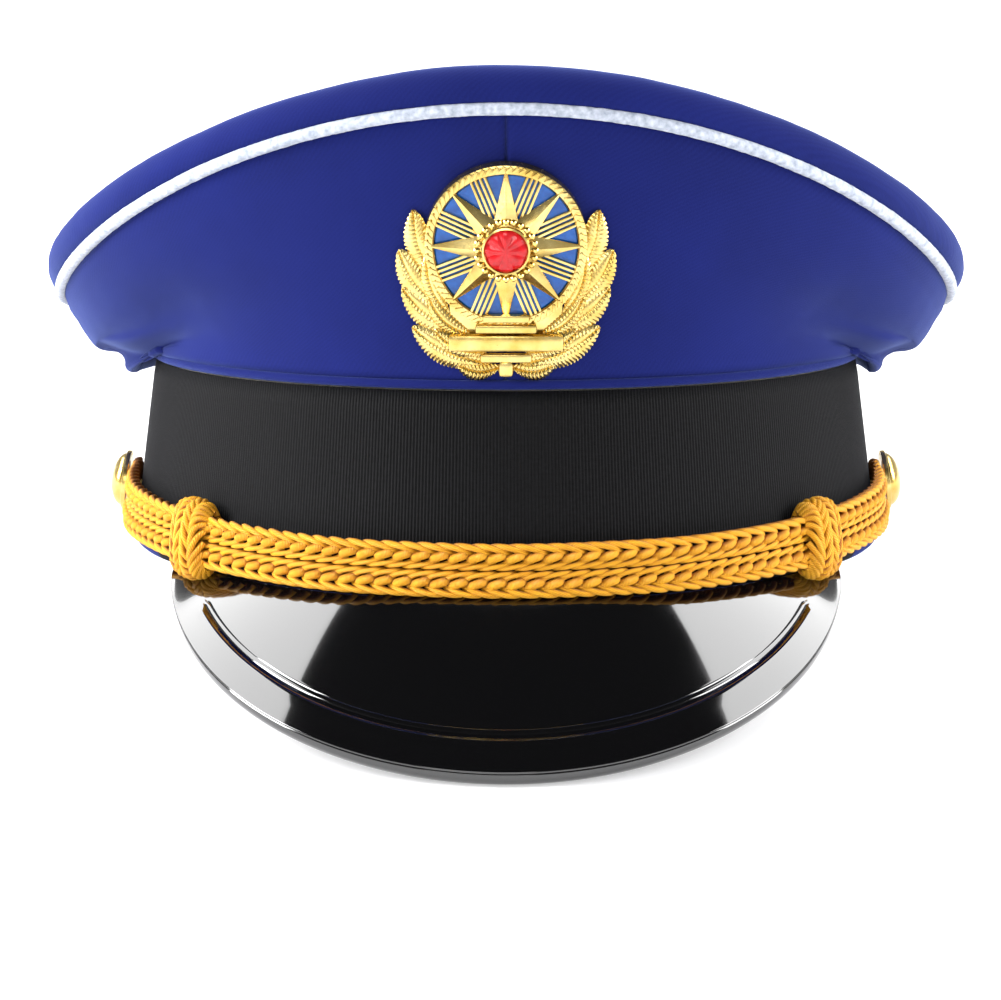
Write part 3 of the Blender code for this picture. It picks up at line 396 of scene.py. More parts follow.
# Opal acrylic sheet, cast and lit from below: an even white with only a faint contact shadow.
BACKLIGHT = {"emission_color": (1, 1, 1, 1), "emission_strength": 0.45}
OPAL_FLOOR = plain("opal_acrylic_backlit", "#dcdcde", "#e2e2e3", 40 * MM, 0.9, 0.0, **BACKLIGHT)


# ---------------------------------------------------------------- the cap's shape, by the CAD's formulas

def smooth(x, low, high):
    t = min(1, max(0, (x - low) / (high - low)))
    return t * t * (3 - 2 * t)


def mix(a, b, t):
    return a + (b - a) * t


def oval(angle, half_width, half_length, height):
    return Vector((half_width * math.sin(angle), -half_length * math.cos(angle), height))


def outward(angle, half_width, half_length):
    return Vector((half_length * math.sin(angle), -half_width * math.cos(angle), 0)).normalized()


def band_point(angle, inset, height):
    """A point on the band, inset from its outside. Angle 0 is the front, and grows to the wearer's left."""
    narrowed = inset + BAND_TAPER * height / BAND_HEIGHT
    return oval(angle, BAND_HALF_WIDTH - narrowed, BAND_HALF_LENGTH - narrowed, height)


CLOTH_INSET = RIBBED_THICK + GAP
STIFFENER_INSET = CLOTH_INSET + CLOTH_THICK + GAP
SWEATBAND_INSET = STIFFENER_INSET + STIFFENER_THICK + PIN_ROOM
HEM_END = CLOTH_INSET + HEM_WIDTH
SEAM_HEIGHT = BAND_HEIGHT + SEAM_RISE
WALL_LEAN = math.atan2(BAND_TAPER, BAND_HEIGHT)
RIBBED_TOP = BAND_HEIGHT - WELT_RADIUS - GAP


def piping_height(along):
    front_reach = CROWN_RISE_START + CROWN_HALF_LENGTH - CROWN_SHIFT
    rear_reach = CROWN_HALF_LENGTH + CROWN_SHIFT - CROWN_RISE_START
    ahead = max(0, CROWN_RISE_START - along) / front_reach
    behind = max(0, along - CROWN_RISE_START) / rear_reach
    return CROWN_SIDE_HEIGHT + CROWN_FRONT_RISE * ahead**CROWN_RISE_POWER + CROWN_REAR_RISE * behind**2


def crown_normal(angle):
    return outward(angle, CROWN_HALF_WIDTH, CROWN_HALF_LENGTH)


def piping_point(angle):
    level = oval(angle, CROWN_HALF_WIDTH, CROWN_HALF_LENGTH, 0)
    level.y += CROWN_SHIFT
    level.z = piping_height(level.y)
    return level


def from_front(angle, low, high):
    """0 near the front of the cap and 1 away from it, either side, between two angles in degrees."""
    away = math.acos(max(-1, min(1, math.cos(angle))))
    return smooth(away, math.radians(low), math.radians(high))


def fullness(angle):
    return from_front(angle, 25, 80)


def panel_point(angle, along, inset=0.0):
    """A point on the crown's side: along is 0 at the band's seam and 1 under the piping."""
    hang = from_front(angle, 50, 92)
    seam = band_point(angle, -mix(0.4, 2.0, hang) * MM, BAND_HEIGHT)
    seam.z = SEAM_HEIGHT
    normal = crown_normal(angle)
    end = piping_point(angle) - normal * 1.7 * MM - UP * (PIPING_RADIUS + 0.9 * MM)
    low = seam + normal * mix(1, 5, hang) * MM + UP * mix(16, -22, hang) * MM
    high = end + normal * mix(-5, -6, hang) * MM + UP * mix(-18, -12, hang) * MM
    t = along
    point = seam * (1 - t) ** 3 + low * 3 * t * (1 - t) ** 2 + high * 3 * t**2 * (1 - t) + end * t**3
    return point - normal * inset


def roll_radius(angle):
    return mix(ROLL_FRONT, ROLL_SIDE, fullness(angle))


def roll_centre(angle):
    radius = roll_radius(angle)
    full = fullness(angle)
    out = mix(1.3, 2.5, full) * MM - radius * math.cos(ROLL_START)
    rise = PIPING_RADIUS + mix(0.3, 0.9, full) * MM - radius * math.sin(ROLL_START)
    return piping_point(angle) + crown_normal(angle) * out + UP * rise


def crown_slope(angle):
    step = 0.1 * MM
    along = piping_point(angle).y
    climb = (piping_height(along + step) - piping_height(along - step)) / (2 * step)
    return math.atan(climb * crown_normal(angle).y)


def roll_point(angle, turn, swell=0.0):
    radius = roll_radius(angle) + swell
    return roll_centre(angle) + crown_normal(angle) * radius * math.cos(turn) + UP * radius * math.sin(turn)


def roll_end(angle):
    return roll_point(angle, math.pi / 2 + crown_slope(angle))


def top_height(along):
    end = roll_end(0) if along < CROWN_SHIFT else roll_end(math.pi)
    share = (along - CROWN_SHIFT) / (end.y - CROWN_SHIFT)
    turn = math.acos(max(-1, min(1, share)))
    return roll_end(turn if along < CROWN_SHIFT else math.pi - turn).z


def lining_ring(angle, share, height):
    half_width = BAND_HALF_WIDTH - BAND_TAPER - LINING_INSET
    half_length = BAND_HALF_LENGTH - BAND_TAPER - LINING_INSET
    return oval(angle, half_width * share, half_length * share, height)


def visor_edges(side):
    """The visor's inner and outer edge at a place from -1, the right ear, to 1, the left one."""
    inner = band_point(side * VISOR_EAR, VISOR_ROOT_INSET, 0)
    inner.z = -GAP
    turn = side * math.pi / 2
    ahead = math.cos(turn)
    return inner, Vector(
        (VISOR_HALF_WIDTH * math.sin(turn), VISOR_ROOT - VISOR_REACH * ahead, -VISOR_DROP * ahead - GAP)
    )


def visor_point(side, along):
    inner, outer = visor_edges(side)
    bulge = VISOR_BULGE * 4 * along * (1 - along) * math.cos(side * math.pi / 2)
    return inner.lerp(outer, along) + Vector((0, -0.7, 0.7)) * bulge


def trim_frame(side):
    step = 0.01
    edge = visor_point(side, 1)
    across = edge - visor_point(side, 0.9)
    run = visor_point(side - step, 1) - visor_point(side + step, 1)
    up = run.cross(across).normalized()
    return edge, up.cross(run).normalized(), up


STRAP_TILT = math.atan2(STRAP_SIDE_HEIGHT - STRAP_FRONT_HEIGHT, BAND_HALF_LENGTH)
STRAP_UP = Vector((0, -math.sin(STRAP_TILT), math.cos(STRAP_TILT)))


def strap_clearance(angle):
    away = abs(angle)
    near_knot = smooth(away, math.radians(10), math.radians(28))
    near_button = smooth(away, math.radians(68), math.radians(86))
    return mix(STRAP_CLEAR, KNOT_CLEAR, near_knot * (1 - near_button))


def strap_section(angle):
    normal = outward(angle, BAND_HALF_WIDTH, BAND_HALF_LENGTH)
    out_way = normal * math.cos(WALL_LEAN) + STRAP_UP * math.sin(WALL_LEAN)
    return out_way, STRAP_UP * math.cos(WALL_LEAN) - normal * math.sin(WALL_LEAN)


def strap_point(angle, out=0.0, up=0.0):
    """A point on the cord's middle line, or out and up from it across its section."""
    height = STRAP_SIDE_HEIGHT - BAND_HALF_LENGTH * math.cos(angle) * math.tan(STRAP_TILT)
    stand_off = strap_clearance(angle) + ROW_THICK / 2
    normal = outward(angle, BAND_HALF_WIDTH, BAND_HALF_LENGTH)
    point = band_point(angle, 0, height) + normal * stand_off
    point.z = STRAP_SIDE_HEIGHT + point.y * math.tan(STRAP_TILT)
    out_way, up_way = strap_section(angle)
    return point + out_way * out + up_way * up


def button_frame(side, out):
    face = band_point(math.pi / 2, 0, STRAP_SIDE_HEIGHT).x
    turn = Matrix.Rotation(side * (math.pi / 2 - WALL_LEAN), 4, "Y")
    return Matrix.Translation((side * face, 0, STRAP_SIDE_HEIGHT)) @ turn @ Matrix.Translation((0, 0, out))


def badge_seat():
    along = 0.5
    for _ in range(40):
        along += (BADGE_HEIGHT - panel_point(0, along).z) / (CROWN_SIDE_HEIGHT * 1.5)
    up = (panel_point(0, along + 0.05) - panel_point(0, along - 0.05)).normalized()
    return panel_point(0, along), up, Vector((1, 0, 0)).cross(up).normalized()


BADGE_MIDDLE, BADGE_UP, BADGE_AHEAD = badge_seat()


def badge_point(across, high, out):
    """A point of the badge, laid flat at (across, high) and then bent to the crown's curve."""
    turn = across / BADGE_BEND
    reach = BADGE_BEND + out
    sideways = Vector((1, 0, 0)) * reach * math.sin(turn)
    ahead = BADGE_AHEAD * (reach * math.cos(turn) - BADGE_BEND)
    return BADGE_MIDDLE + sideways + ahead + BADGE_UP * high * BADGE_STRETCH


# ---------------------------------------------------------------- making pieces

def only(obj):
    """Selects one object alone and makes it active."""
    bpy.ops.object.select_all(action="DESELECT")
    obj.select_set(True)
    bpy.context.view_layer.objects.active = obj


def edit(obj, *steps):
    """Runs edit-mode steps on the whole of an object."""
    only(obj)
    bpy.ops.object.mode_set(mode="EDIT")
    bpy.ops.mesh.select_all(action="SELECT")
    for step in steps:
        step()
    bpy.ops.object.mode_set(mode="OBJECT")


def face_out():
    bpy.ops.mesh.normals_make_consistent(inside=False)


def apply_modifier(obj, kind, **settings):
    only(obj)
    modifier = obj.modifiers.new(kind.lower(), kind)
    for name, value in settings.items():
        setattr(modifier, name, value)
    bpy.ops.object.modifier_apply(modifier=modifier.name)


def laid_grid(name, columns, rows, place, size=(1, 1), loop=False):
    """A grid laid out by place(u, v) in the cap's frame, with a UV map in metres over size."""
    bpy.ops.object.select_all(action="DESELECT")
    bpy.ops.mesh.primitive_grid_add(x_subdivisions=columns, y_subdivisions=rows, size=1, calc_uvs=True)
    obj = bpy.context.object
    obj.name = name
    for vertex in obj.data.vertices:
        vertex.co = CAP @ place(vertex.co.x + 0.5, vertex.co.y + 0.5)
    for corner in obj.data.uv_layers.active.data:
        corner.uv = (corner.uv[0] * size[0], corner.uv[1] * size[1])
    if loop:
        edit(obj, lambda: bpy.ops.mesh.remove_doubles(threshold=0.00001))
    return obj


def cords(name, paths, radius, widths=None, sides=2, fine=2, closed=False):
    """Round strands along smooth paths, as one mesh. widths scale the radius along each path."""
    curve = bpy.data.curves.new(name, "CURVE")
    curve.dimensions = "3D"
    curve.bevel_depth = radius
    curve.bevel_resolution = sides
    curve.resolution_u = fine
    curve.use_fill_caps = not closed
    for path in paths:
        spline = curve.splines.new("NURBS")
        spline.points.add(len(path) - 1)
        for i, point in enumerate(path):
            spline.points[i].co = (*(CAP @ point), 1)
            spline.points[i].radius = widths[i] if widths else 1
        spline.use_cyclic_u = closed
        spline.use_endpoint_u = not closed
        spline.order_u = 4
    obj = bpy.data.objects.new(name, curve)
    bpy.context.scene.collection.objects.link(obj)
    only(obj)
    bpy.ops.object.convert(target="MESH")
    obj = bpy.context.object
    round_shade(obj)
    run_uv(obj, paths, radius)
    return obj


def run_uv(obj, paths, radius):
    """Scales each strand's UV map to metres: along it in U, round it in V."""
    layer = obj.data.uv_layers.active.data
    corners = len(layer) // len(paths)
    for number, path in enumerate(paths):
        length = sum((b - a).length for a, b in zip(path, path[1:]))
        for i in range(number * corners, (number + 1) * corners):
            u, v = layer[i].uv
            layer[i].uv = (v * length, u * 2 * math.pi * radius)


def finish_piece(obj, material, body, nodes):
    """Gives a piece its finish and the body that it rides on, and hides the CAD nodes that it stands for."""
    only(obj)
    obj.data.materials.clear()
    obj.data.materials.append(material)
    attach(obj, body)
    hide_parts(*nodes)


def joined(name, objects):
    bpy.ops.object.select_all(action="DESELECT")
    for obj in objects:
        obj.select_set(True)
    bpy.context.view_layer.objects.active = objects[0]
    bpy.ops.object.join()
    bpy.context.object.name = name
    return bpy.context.object


def turned(name, profile, steps=96):
    """A profile of (radius, height) spun round Z, still in the flat."""
    mesh = bpy.data.meshes.new(name)
    edges = [(i, i + 1) for i in range(len(profile) - 1)]
    mesh.from_pydata([(radius, 0, height) for radius, height in profile], edges, [])
    obj = bpy.data.objects.new(name, mesh)
    bpy.context.scene.collection.objects.link(obj)
    edit(
        obj,
        lambda: bpy.ops.mesh.spin(steps=steps, angle=2 * math.pi, center=(0, 0, 0), axis=(0, 0, 1)),
        lambda: bpy.ops.mesh.select_all(action="SELECT"),
        lambda: bpy.ops.mesh.remove_doubles(threshold=0.000005),
    )
    return obj


def round_shade(obj):
    only(obj)
    bpy.ops.object.shade_smooth()


def smooth_shade(obj, degrees):
    """Smooth shading, with edges sharper than this angle left crisp."""
    only(obj)
    bpy.ops.object.shade_smooth_by_angle(angle=math.radians(degrees))


# ---------------------------------------------------------------- band

GIRTH = math.pi * (BAND_HALF_WIDTH + BAND_HALF_LENGTH)
RIB_PITCH = 0.85 * MM
RIB_HEIGHT = 0.2 * MM
RIB_COLUMNS = 4


def build_ribbed_band():
    """The ribbed band: each rib is a rounded ridge in the mesh."""
    ribs = round(GIRTH / RIB_PITCH)

    def place(u, v):
        ridge = abs(math.cos(math.pi * ribs * u))
        edge = min(v, 1 - v) * (RIBBED_TOP - RIBBED_BOTTOM)
        rounded = 0.25 * MM * (1 - smooth(edge, 0, 0.8 * MM))
        wave = 0.12 * MM * noise.noise((u * 40, v * 1.5, 3))
        foot = mix(0.6 * MM, RIBBED_BOTTOM, from_front(2 * math.pi * u, 62, 74))
        inset = RIB_HEIGHT * (1 - ridge) + rounded - wave
        return band_point(2 * math.pi * u, inset, mix(foot, RIBBED_TOP, v))

    band = laid_grid("ribbed_band_cloth", ribs * RIB_COLUMNS, 10, place, (GIRTH, BAND_HEIGHT), loop=True)
    round_shade(band)
    apply_modifier(band, "SOLIDIFY", thickness=0.5 * MM, offset=-1)
    finish_piece(band, RIBBON, "cap", ["ribbed_band"])


def build_band_cloth():
    """The blue cloth under the ribbed band, whose lower edge is turned in and padded."""
    foot = RIBBED_BOTTOM - GAP
    inside = CLOTH_INSET + CLOTH_THICK
    profile = [
        (CLOTH_INSET, RIBBED_TOP), (CLOTH_INSET, foot + 2 * GAP),
        ("bulge", foot), ("bulge", foot / 2), ("bulge", CLOTH_THICK),
        (CLOTH_INSET - GAP, 0), (HEM_END, 0), (HEM_END, CLOTH_THICK),
        (inside, CLOTH_THICK), (inside, RIBBED_TOP), (CLOTH_INSET, RIBBED_TOP),
    ]

    def place(u, v):
        angle = 2 * math.pi * u
        inset, height = profile[round(v * (len(profile) - 1))]
        if inset == "bulge":
            inset = mix(RIBBED_THICK, -HEM_BULGE, from_front(angle, 66, 92))
            inset += 0.25 * MM * noise.noise((u * 60, height * 300, 1))
        return band_point(angle, inset, height)

    cloth = laid_grid("band_cloth_turned", 240, len(profile) - 1, place, (GIRTH, 0.1), loop=True)
    apply_modifier(cloth, "SUBSURF", levels=1, render_levels=1)
    edit(cloth, face_out)
    round_shade(cloth)
    finish_piece(cloth, WOOL, "cap", ["band_cloth"])


def build_sweatband():
    """The leather sweatband, with a rolled lower edge and a row of stitches near it."""
    foot = HEM_END + GAP
    heights = (SWEATBAND_HEIGHT, SWEATBAND_HEIGHT / 2, SWEATBAND_TURN)
    outer = [(SWEATBAND_INSET, height) for height in heights]
    outer += [(mix(SWEATBAND_INSET, foot, 0.8), SWEATBAND_TURN * 0.4), (foot, CLOTH_THICK / 2 + 0.2 * MM)]
    inner = [(inset + SWEATBAND_THICK, height) for inset, height in outer[::-1]]
    profile = outer + inner + outer[:1]

    def place(u, v):
        inset, height = profile[round(v * (len(profile) - 1))]
        pebble = 0.12 * MM * noise.noise((u * 90, height * 200, 7))
        return band_point(2 * math.pi * u, inset + pebble, height)

    band = laid_grid("sweatband_leather", 240, len(profile) - 1, place, loop=True)
    apply_modifier(band, "SUBSURF", levels=1, render_levels=1)
    edit(band, face_out)
    round_shade(band)
    finish_piece(band, LEATHER, "cap", ["sweatband"])
    stitches = 150
    paths = []
    for number in range(stitches):
        start = 2 * math.pi * number / stitches
        stop = start + 2 * math.pi * 0.6 / stitches
        paths.append([
            band_point(mix(start, stop, t), SWEATBAND_INSET + SWEATBAND_THICK + lift, SWEATBAND_TURN + 3 * MM)
            for t, lift in ((0, -0.3 * MM), (0.15, 0.15 * MM), (0.85, 0.15 * MM), (1, -0.3 * MM))
        ])
    thread = cords("sweatband_stitching", paths, 0.2 * MM, sides=0)
    thread.data.materials.append(FELT)
    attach(thread, "cap")


def build_welt():
    """The cloth-covered cord in the seam between crown and band."""
    count = 160
    path = [band_point(2 * math.pi * i / count, -0.3 * MM, BAND_HEIGHT) for i in range(count)]
    welt = cords("band_welt_cord", [path], WELT_RADIUS, closed=True, sides=3)
    finish_piece(welt, WOOL, "cap", ["band_welt"])


# ---------------------------------------------------------------- crown

def bump(value, centre, half_width):
    return math.exp(-(((value - centre) / half_width) ** 2))


def drape(angle, along):
    """How far the slack cloth stands out, and up, in the soft folds at the sides and the rear."""
    hang = from_front(angle, 58, 92)
    away = math.degrees(math.acos(max(-1, min(1, math.cos(angle)))))
    lean = angle * 5.0 + (along - 0.3) * 3.0
    folds = 0.9 * MM * math.sin(lean * 2.2) * (1 - smooth(along, 0.15, 0.75))
    soft = 0.6 * MM * noise.noise((math.sin(angle) * 3, math.cos(angle) * 3, along * 2.2))
    fine = 0.14 * MM * noise.noise((angle * 14, along * 9, 5))
    crease = mix(0.12, 0.42, smooth(away, 58, 88))
    pleat = 2.2 * bump(along, crease + 0.14, 0.1) - 3.2 * bump(along, crease, 0.07)
    pleat *= MM * bump(away, 76, 15)
    out = hang * (folds + soft) + fine * (0.3 + hang) + pleat
    up = hang * bump(away, 82, 24) * MM * (6.5 * bump(along, 0.48, 0.17) - 1.5 * bump(along, 0.14, 0.1))
    return out, up


def build_side_panel(name, number):
    """A quarter of the crown's side, with its two edges turned in at the seams."""
    quarter = math.pi / 2

    def place(u, v):
        angle = mix(number * quarter, (number + 1) * quarter, u)
        from_seam = min(u, 1 - u) * quarter * CROWN_HALF_WIDTH
        turned_in = 0.5 * MM * (1 - smooth(from_seam, 0, 0.9 * MM)) ** 2
        free = smooth(v, 0, 0.12) * smooth(1 - v, 0, 0.12)
        out, up = drape(angle, v)
        point = panel_point(angle, v, turned_in - out * free)
        point += crown_normal(angle) * 0.9 * MM * smooth(v, 0.9, 1)
        point.z += up * free + 2.2 * MM * smooth(v, 0.94, 1)
        point.z -= (SEAM_RISE - 0.8 * MM) * (1 - smooth(v, 0, 0.05))
        return point

    return laid_grid(name + "_cloth", 150, 44, place, (0.18, 0.062))


def build_crown_sides():
    names = ("crown_front_left", "crown_rear_left", "crown_rear_right", "crown_front_right")
    for number, name in enumerate(names):
        panel = build_side_panel(name, number)
        round_shade(panel)
        apply_modifier(panel, "SOLIDIFY", thickness=CROWN_CLOTH, offset=-1)
        finish_piece(panel, WOOL, "cap", [name])


ROLL_TUCK = math.radians(-44)  # the cloth goes this far down round the roll, to the piping


def build_crown_top():
    """The crown's top: its edge rolled over the padded hoop, its middle drawn taut like a drum."""
    roll_rows = 26
    flat_rows = 26

    def place(u, v):
        angle = 2 * math.pi * u
        step = v * (roll_rows + flat_rows)
        if step <= roll_rows:
            share = step / roll_rows
            turn = mix(ROLL_TUCK, math.pi / 2 + crown_slope(angle), share)
            across, ahead = math.sin(angle), math.cos(angle)
            pucker = 0.12 * MM * noise.noise((across * 25, ahead * 25, share * 2))
            pucker += 0.3 * MM * noise.noise((across * 4, ahead * 4, share + 9))
            tuck = -0.4 * MM * (1 - smooth(share, 0, 0.1))
            return roll_point(angle, turn, (pucker + tuck) * (1 - share**4))
        share = max(0.004, 1 - (step - roll_rows) / flat_rows)
        edge = roll_end(angle)
        middle = Vector((0, CROWN_SHIFT, 0))
        level = middle + (Vector((edge.x, edge.y, 0)) - middle) * share
        dip = 0.6 * MM * smooth(1 - share, 0, 0.12) - 0.4 * MM * smooth(1 - share, 0.1, 1)
        return Vector((level.x, level.y, top_height(level.y) - dip))

    top = laid_grid("crown_top_cloth", 300, roll_rows + flat_rows, place, (0.72, 0.13), loop=True)
    fill_pole(top)
    round_shade(top)
    apply_modifier(top, "SOLIDIFY", thickness=CROWN_CLOTH, offset=-1)
    finish_piece(top, WOOL, "cap", ["crown_top"])
    planar_uv(top)


def fill_pole(obj):
    """Closes the small hole that a grid leaves where its last row meets."""
    shape = bmesh.new()
    shape.from_mesh(obj.data)
    inner = [edge for edge in shape.edges if edge.is_boundary and edge.calc_length() < 0.2 * MM]
    bmesh.ops.contextual_create(shape, geom=inner)
    shape.to_mesh(obj.data)
    shape.free()


def planar_uv(obj):
    """The top is cut flat, so its weave lies straight over it from above."""
    layer = obj.data.uv_layers.active.data
    back = CAP.inverted()
    for loop in obj.data.loops:
        point = back @ obj.data.vertices[loop.vertex_index].co
        layer[loop.index].uv = (point.x + 0.3 * point.z, point.y + point.z)


def build_wadding():
    """The roll of wadding under the top's edge that keeps it round."""
    count = 160
    turns = [2 * math.pi * i / count for i in range(count)]
    shrink = CROWN_CLOTH + 4 * GAP
    full = ROLL_SIDE - shrink
    widths = [(roll_radius(turn) - shrink) / full for turn in turns]
    path = [roll_centre(turn) for turn in turns]
    roll = cords("edge_wadding_roll", [path], full, widths, sides=4, closed=True)
    for vertex in roll.data.vertices:
        vertex.co += vertex.normal * 0.3 * MM * noise.noise(vertex.co * 500)
    finish_piece(roll, WADDING, "cap", ["edge_wadding"])


def build_piping():
    """The white felt piping, slightly uneven and fuzzy."""
    count = 200
    path = [piping_point(2 * math.pi * i / count) for i in range(count)]
    piping = cords("white_felt_piping", [path], PIPING_SEEN, closed=True, sides=6, fine=4)
    for vertex in piping.data.vertices:
        fuzz = 0.12 * noise.noise(vertex.co * 1600) + 0.06 * noise.noise(vertex.co * 350)
        vertex.co += vertex.normal * fuzz * MM
    finish_piece(piping, FELT, "cap", ["white_piping"])


def build_lining():
    """The satin lining: straight up from the sweatband, then gathered under the crown's top."""
    foot = SWEATBAND_HEIGHT + 2 * GAP

    def place(u, v):
        angle = 2 * math.pi * u
        if v <= 0.4:
            high = lining_ring(angle, 1, 0)
            top = top_height(high.y) - LINING_DROP
            gather = 0.4 * MM * math.sin(angle * 44) * smooth(v, 0.1, 0.4)
            point = lining_ring(angle, 1 - gather / BAND_HALF_WIDTH, 0)
            point.z = mix(foot, top, v / 0.4)
            return point
        share = max(0.006, 1 - (v - 0.4) / 0.6)
        gather = 0.4 * MM * math.sin(angle * 44) * smooth(share, 0.2, 0.9)
        point = lining_ring(angle, share, 0)
        point.z = top_height(point.y) - LINING_DROP - 0.4 * MM + gather
        return point

    lining = laid_grid("crown_lining_satin", 264, 30, place, (0.6, 0.2), loop=True)
    fill_pole(lining)
    round_shade(lining)
    apply_modifier(lining, "SOLIDIFY", thickness=LINING_THICK * 0.7, offset=-1)
    finish_piece(lining, SATIN, "cap", ["crown_lining"])


# ---------------------------------------------------------------- visor

GROOVE_IN = 11.4 * MM  # the embossed line's distance from the visor's edge
GROOVE_DEEP = 0.4 * MM
GROOVE_HALF = 0.55 * MM
GROOVE_END = 0.86


def groove(side, from_edge):
    """The embossed line: two fine grooves with a raised line between them."""
    reach = 1 - smooth(abs(side), GROOVE_END - 0.035, GROOVE_END)
    away = (from_edge - GROOVE_IN) / GROOVE_HALF
    pair = math.exp(-((away - 1) ** 2) * 3) + math.exp(-((away + 1) ** 2) * 3)
    ridge = 0.5 * math.exp(-(away**2) * 3)
    return GROOVE_DEEP * (ridge - pair) * reach


def build_visor():
    """The moulded plate. Its rows crowd together at the edge and at the embossed line."""
    by_line = [9.8 + 0.16 * i for i in range(21)]
    stops = [stop * MM for stop in (0, 0.35, 0.8, 1.6, 3, 5, 7.5, 9.3, *by_line, 13.6, 15)]
    plain_rows = 16
    total = len(stops) - 1 + plain_rows

    def place(u, v):
        side = mix(1, -1, 1 - u)
        inner, outer = visor_edges(side)
        length = (outer - inner).length - (TRIM_WALL + TRIM_CLEAR)
        zone = min(1, 0.75 * length / stops[-1])
        step = (1 - v) * total
        index = min(int(step), len(stops) - 2)
        if step <= len(stops) - 1:
            from_edge = mix(stops[index], stops[index + 1], step - index) * zone
        else:
            from_edge = mix(stops[-1] * zone, length, (step - len(stops) + 1) / plain_rows)
        reach = (outer - inner).length
        along = (length - from_edge) / reach
        emboss = groove(side, from_edge + TRIM_WALL + TRIM_CLEAR) if zone == 1 else 0
        return visor_point(side, along) + trim_frame(side * 0.98)[2] * emboss

    visor = laid_grid("visor_plate", 260, total, place, (0.22, 0.06))
    round_shade(visor)
    apply_modifier(visor, "SOLIDIFY", thickness=VISOR_THICK, offset=-1)
    finish_piece(visor, PLASTIC, "cap", ["visor"])


def build_trim():
    """The edge channel: a rounded bead over the plate's outer edge."""
    wall = TRIM_WALL
    under = VISOR_THICK + TRIM_CLEAR
    path = [
        (-TRIM_WIDTH, TRIM_CLEAR + 0.2 * MM), (-TRIM_WIDTH + 0.3 * MM, TRIM_CLEAR + wall),
        (-1.4 * MM, TRIM_CLEAR + 1.25 * wall), (-0.7 * MM, TRIM_CLEAR + 0.9 * wall),
        (-0.15 * MM, 0), (0.1 * MM, -VISOR_THICK / 2), (-0.1 * MM, -under + 0.2 * MM),
        (-wall, -under - wall), (-TRIM_WIDTH, -under - wall),
        (-TRIM_WIDTH, -under), (-wall, -under), (-wall, TRIM_CLEAR), (-TRIM_WIDTH, TRIM_CLEAR),
    ]
    path.append(path[0])

    def place(u, v):
        side = mix(TRIM_END, -TRIM_END, 1 - u)
        edge, out, up = trim_frame(side)
        out_by, up_by = path[round(v * (len(path) - 1))]
        return edge + out * out_by + up * up_by

    trim = laid_grid("visor_edge_bead", 220, len(path) - 1, place)
    edit(trim, lambda: bpy.ops.mesh.remove_doubles(threshold=0.00001), close_ends, face_out)
    apply_modifier(trim, "BEVEL", width=0.18 * MM, segments=2, limit_method="ANGLE")
    smooth_shade(trim, 50)
    finish_piece(trim, PLASTIC, "cap", ["visor_trim"])


def close_ends():
    """Fills the open ends of the shape in edit mode."""
    bpy.ops.mesh.select_all(action="DESELECT")
    bpy.ops.mesh.select_non_manifold()
    bpy.ops.mesh.edge_face_add()
    bpy.ops.mesh.select_all(action="SELECT")


# ---------------------------------------------------------------- chin cord

STITCH = 4.3 * MM  # the plait's pitch
# A stitch of the plait as four strands. Each point is along, in pitches, then up and out in millimetres.
OUTER_STRAND = (
    (-0.75, 2.1, -0.9), (-0.62, 2.25, 0.1), (-0.3, 2.35, 0.8), (0.1, 2.1, 1.05),
    (0.5, 1.65, 1.05), (0.85, 1.1, 0.8), (1.1, 0.7, 0.2), (1.2, 0.5, -0.6),
)
MIDDLE_BUMP = (
    (0.12, -0.85, -0.4), (0.14, -0.7, 0.7), (0.4, -0.4, 1.3), (0.68, 0.05, 1.2), (0.82, 0.3, 0.4),
)
INNER_STRAND = (
    (-0.45, -2.75, -0.5), (-0.3, -2.8, 0.4), (0.1, -2.65, 0.8),
    (0.6, -2.2, 0.85), (1.1, -1.65, 0.6), (1.4, -1.3, -0.3),
)
TIE_STRAND = (
    (0.55, -2.0, -0.2), (0.75, -1.75, 0.5), (1.0, -1.35, 0.65), (1.25, -0.9, 0.5), (1.4, -0.6, -0.3),
)
STRANDS = (
    ("outer", OUTER_STRAND, 0.76), ("bump", MIDDLE_BUMP, 1.1),
    ("inner", INNER_STRAND, 0.6), ("tie", TIE_STRAND, 0.42),
)


def strap_angles():
    """Angles along the cord a fixed short distance apart, as (distance, angle) pairs."""
    end = math.pi / 2 - (LOOP_RADIUS - 2.5 * MM) / BAND_HALF_LENGTH
    count = 600
    pairs = [(0, -end)]
    for i in range(count):
        angle = mix(-end, end, (i + 1) / count)
        step = (strap_point(angle) - strap_point(pairs[-1][1])).length
        pairs.append((pairs[-1][0] + step, angle))
    return pairs


STRAP_TABLE = strap_angles()
STRAP_LENGTH = STRAP_TABLE[-1][0]


def strap_angle(distance):
    """The angle at a distance along the cord from its right end."""
    share = min(0.9999, max(0, distance / STRAP_LENGTH)) * (len(STRAP_TABLE) - 1)
    # The pairs are nearly even in distance, so a few steps of correction find the place.
    index = int(share)
    while index > 0 and STRAP_TABLE[index][0] > distance:
        index -= 1
    while index < len(STRAP_TABLE) - 2 and STRAP_TABLE[index + 1][0] < distance:
        index += 1
    first, second = STRAP_TABLE[index], STRAP_TABLE[index + 1]
    return mix(first[1], second[1], (distance - first[0]) / (second[0] - first[0]))


def mark_painted_shade(obj, outwards):
    """Stores how far each point of the strands faces out, from 0 down between them to 1 on their crests, as
    the mask for the cord's painted shade between the strands.
    """
    crest = obj.data.attributes.new("crest", "FLOAT", "POINT").data
    for vertex in obj.data.vertices:
        crest[vertex.index].value = smooth(vertex.normal.dot(outwards(vertex.co).normalized()), 0.05, 0.75)


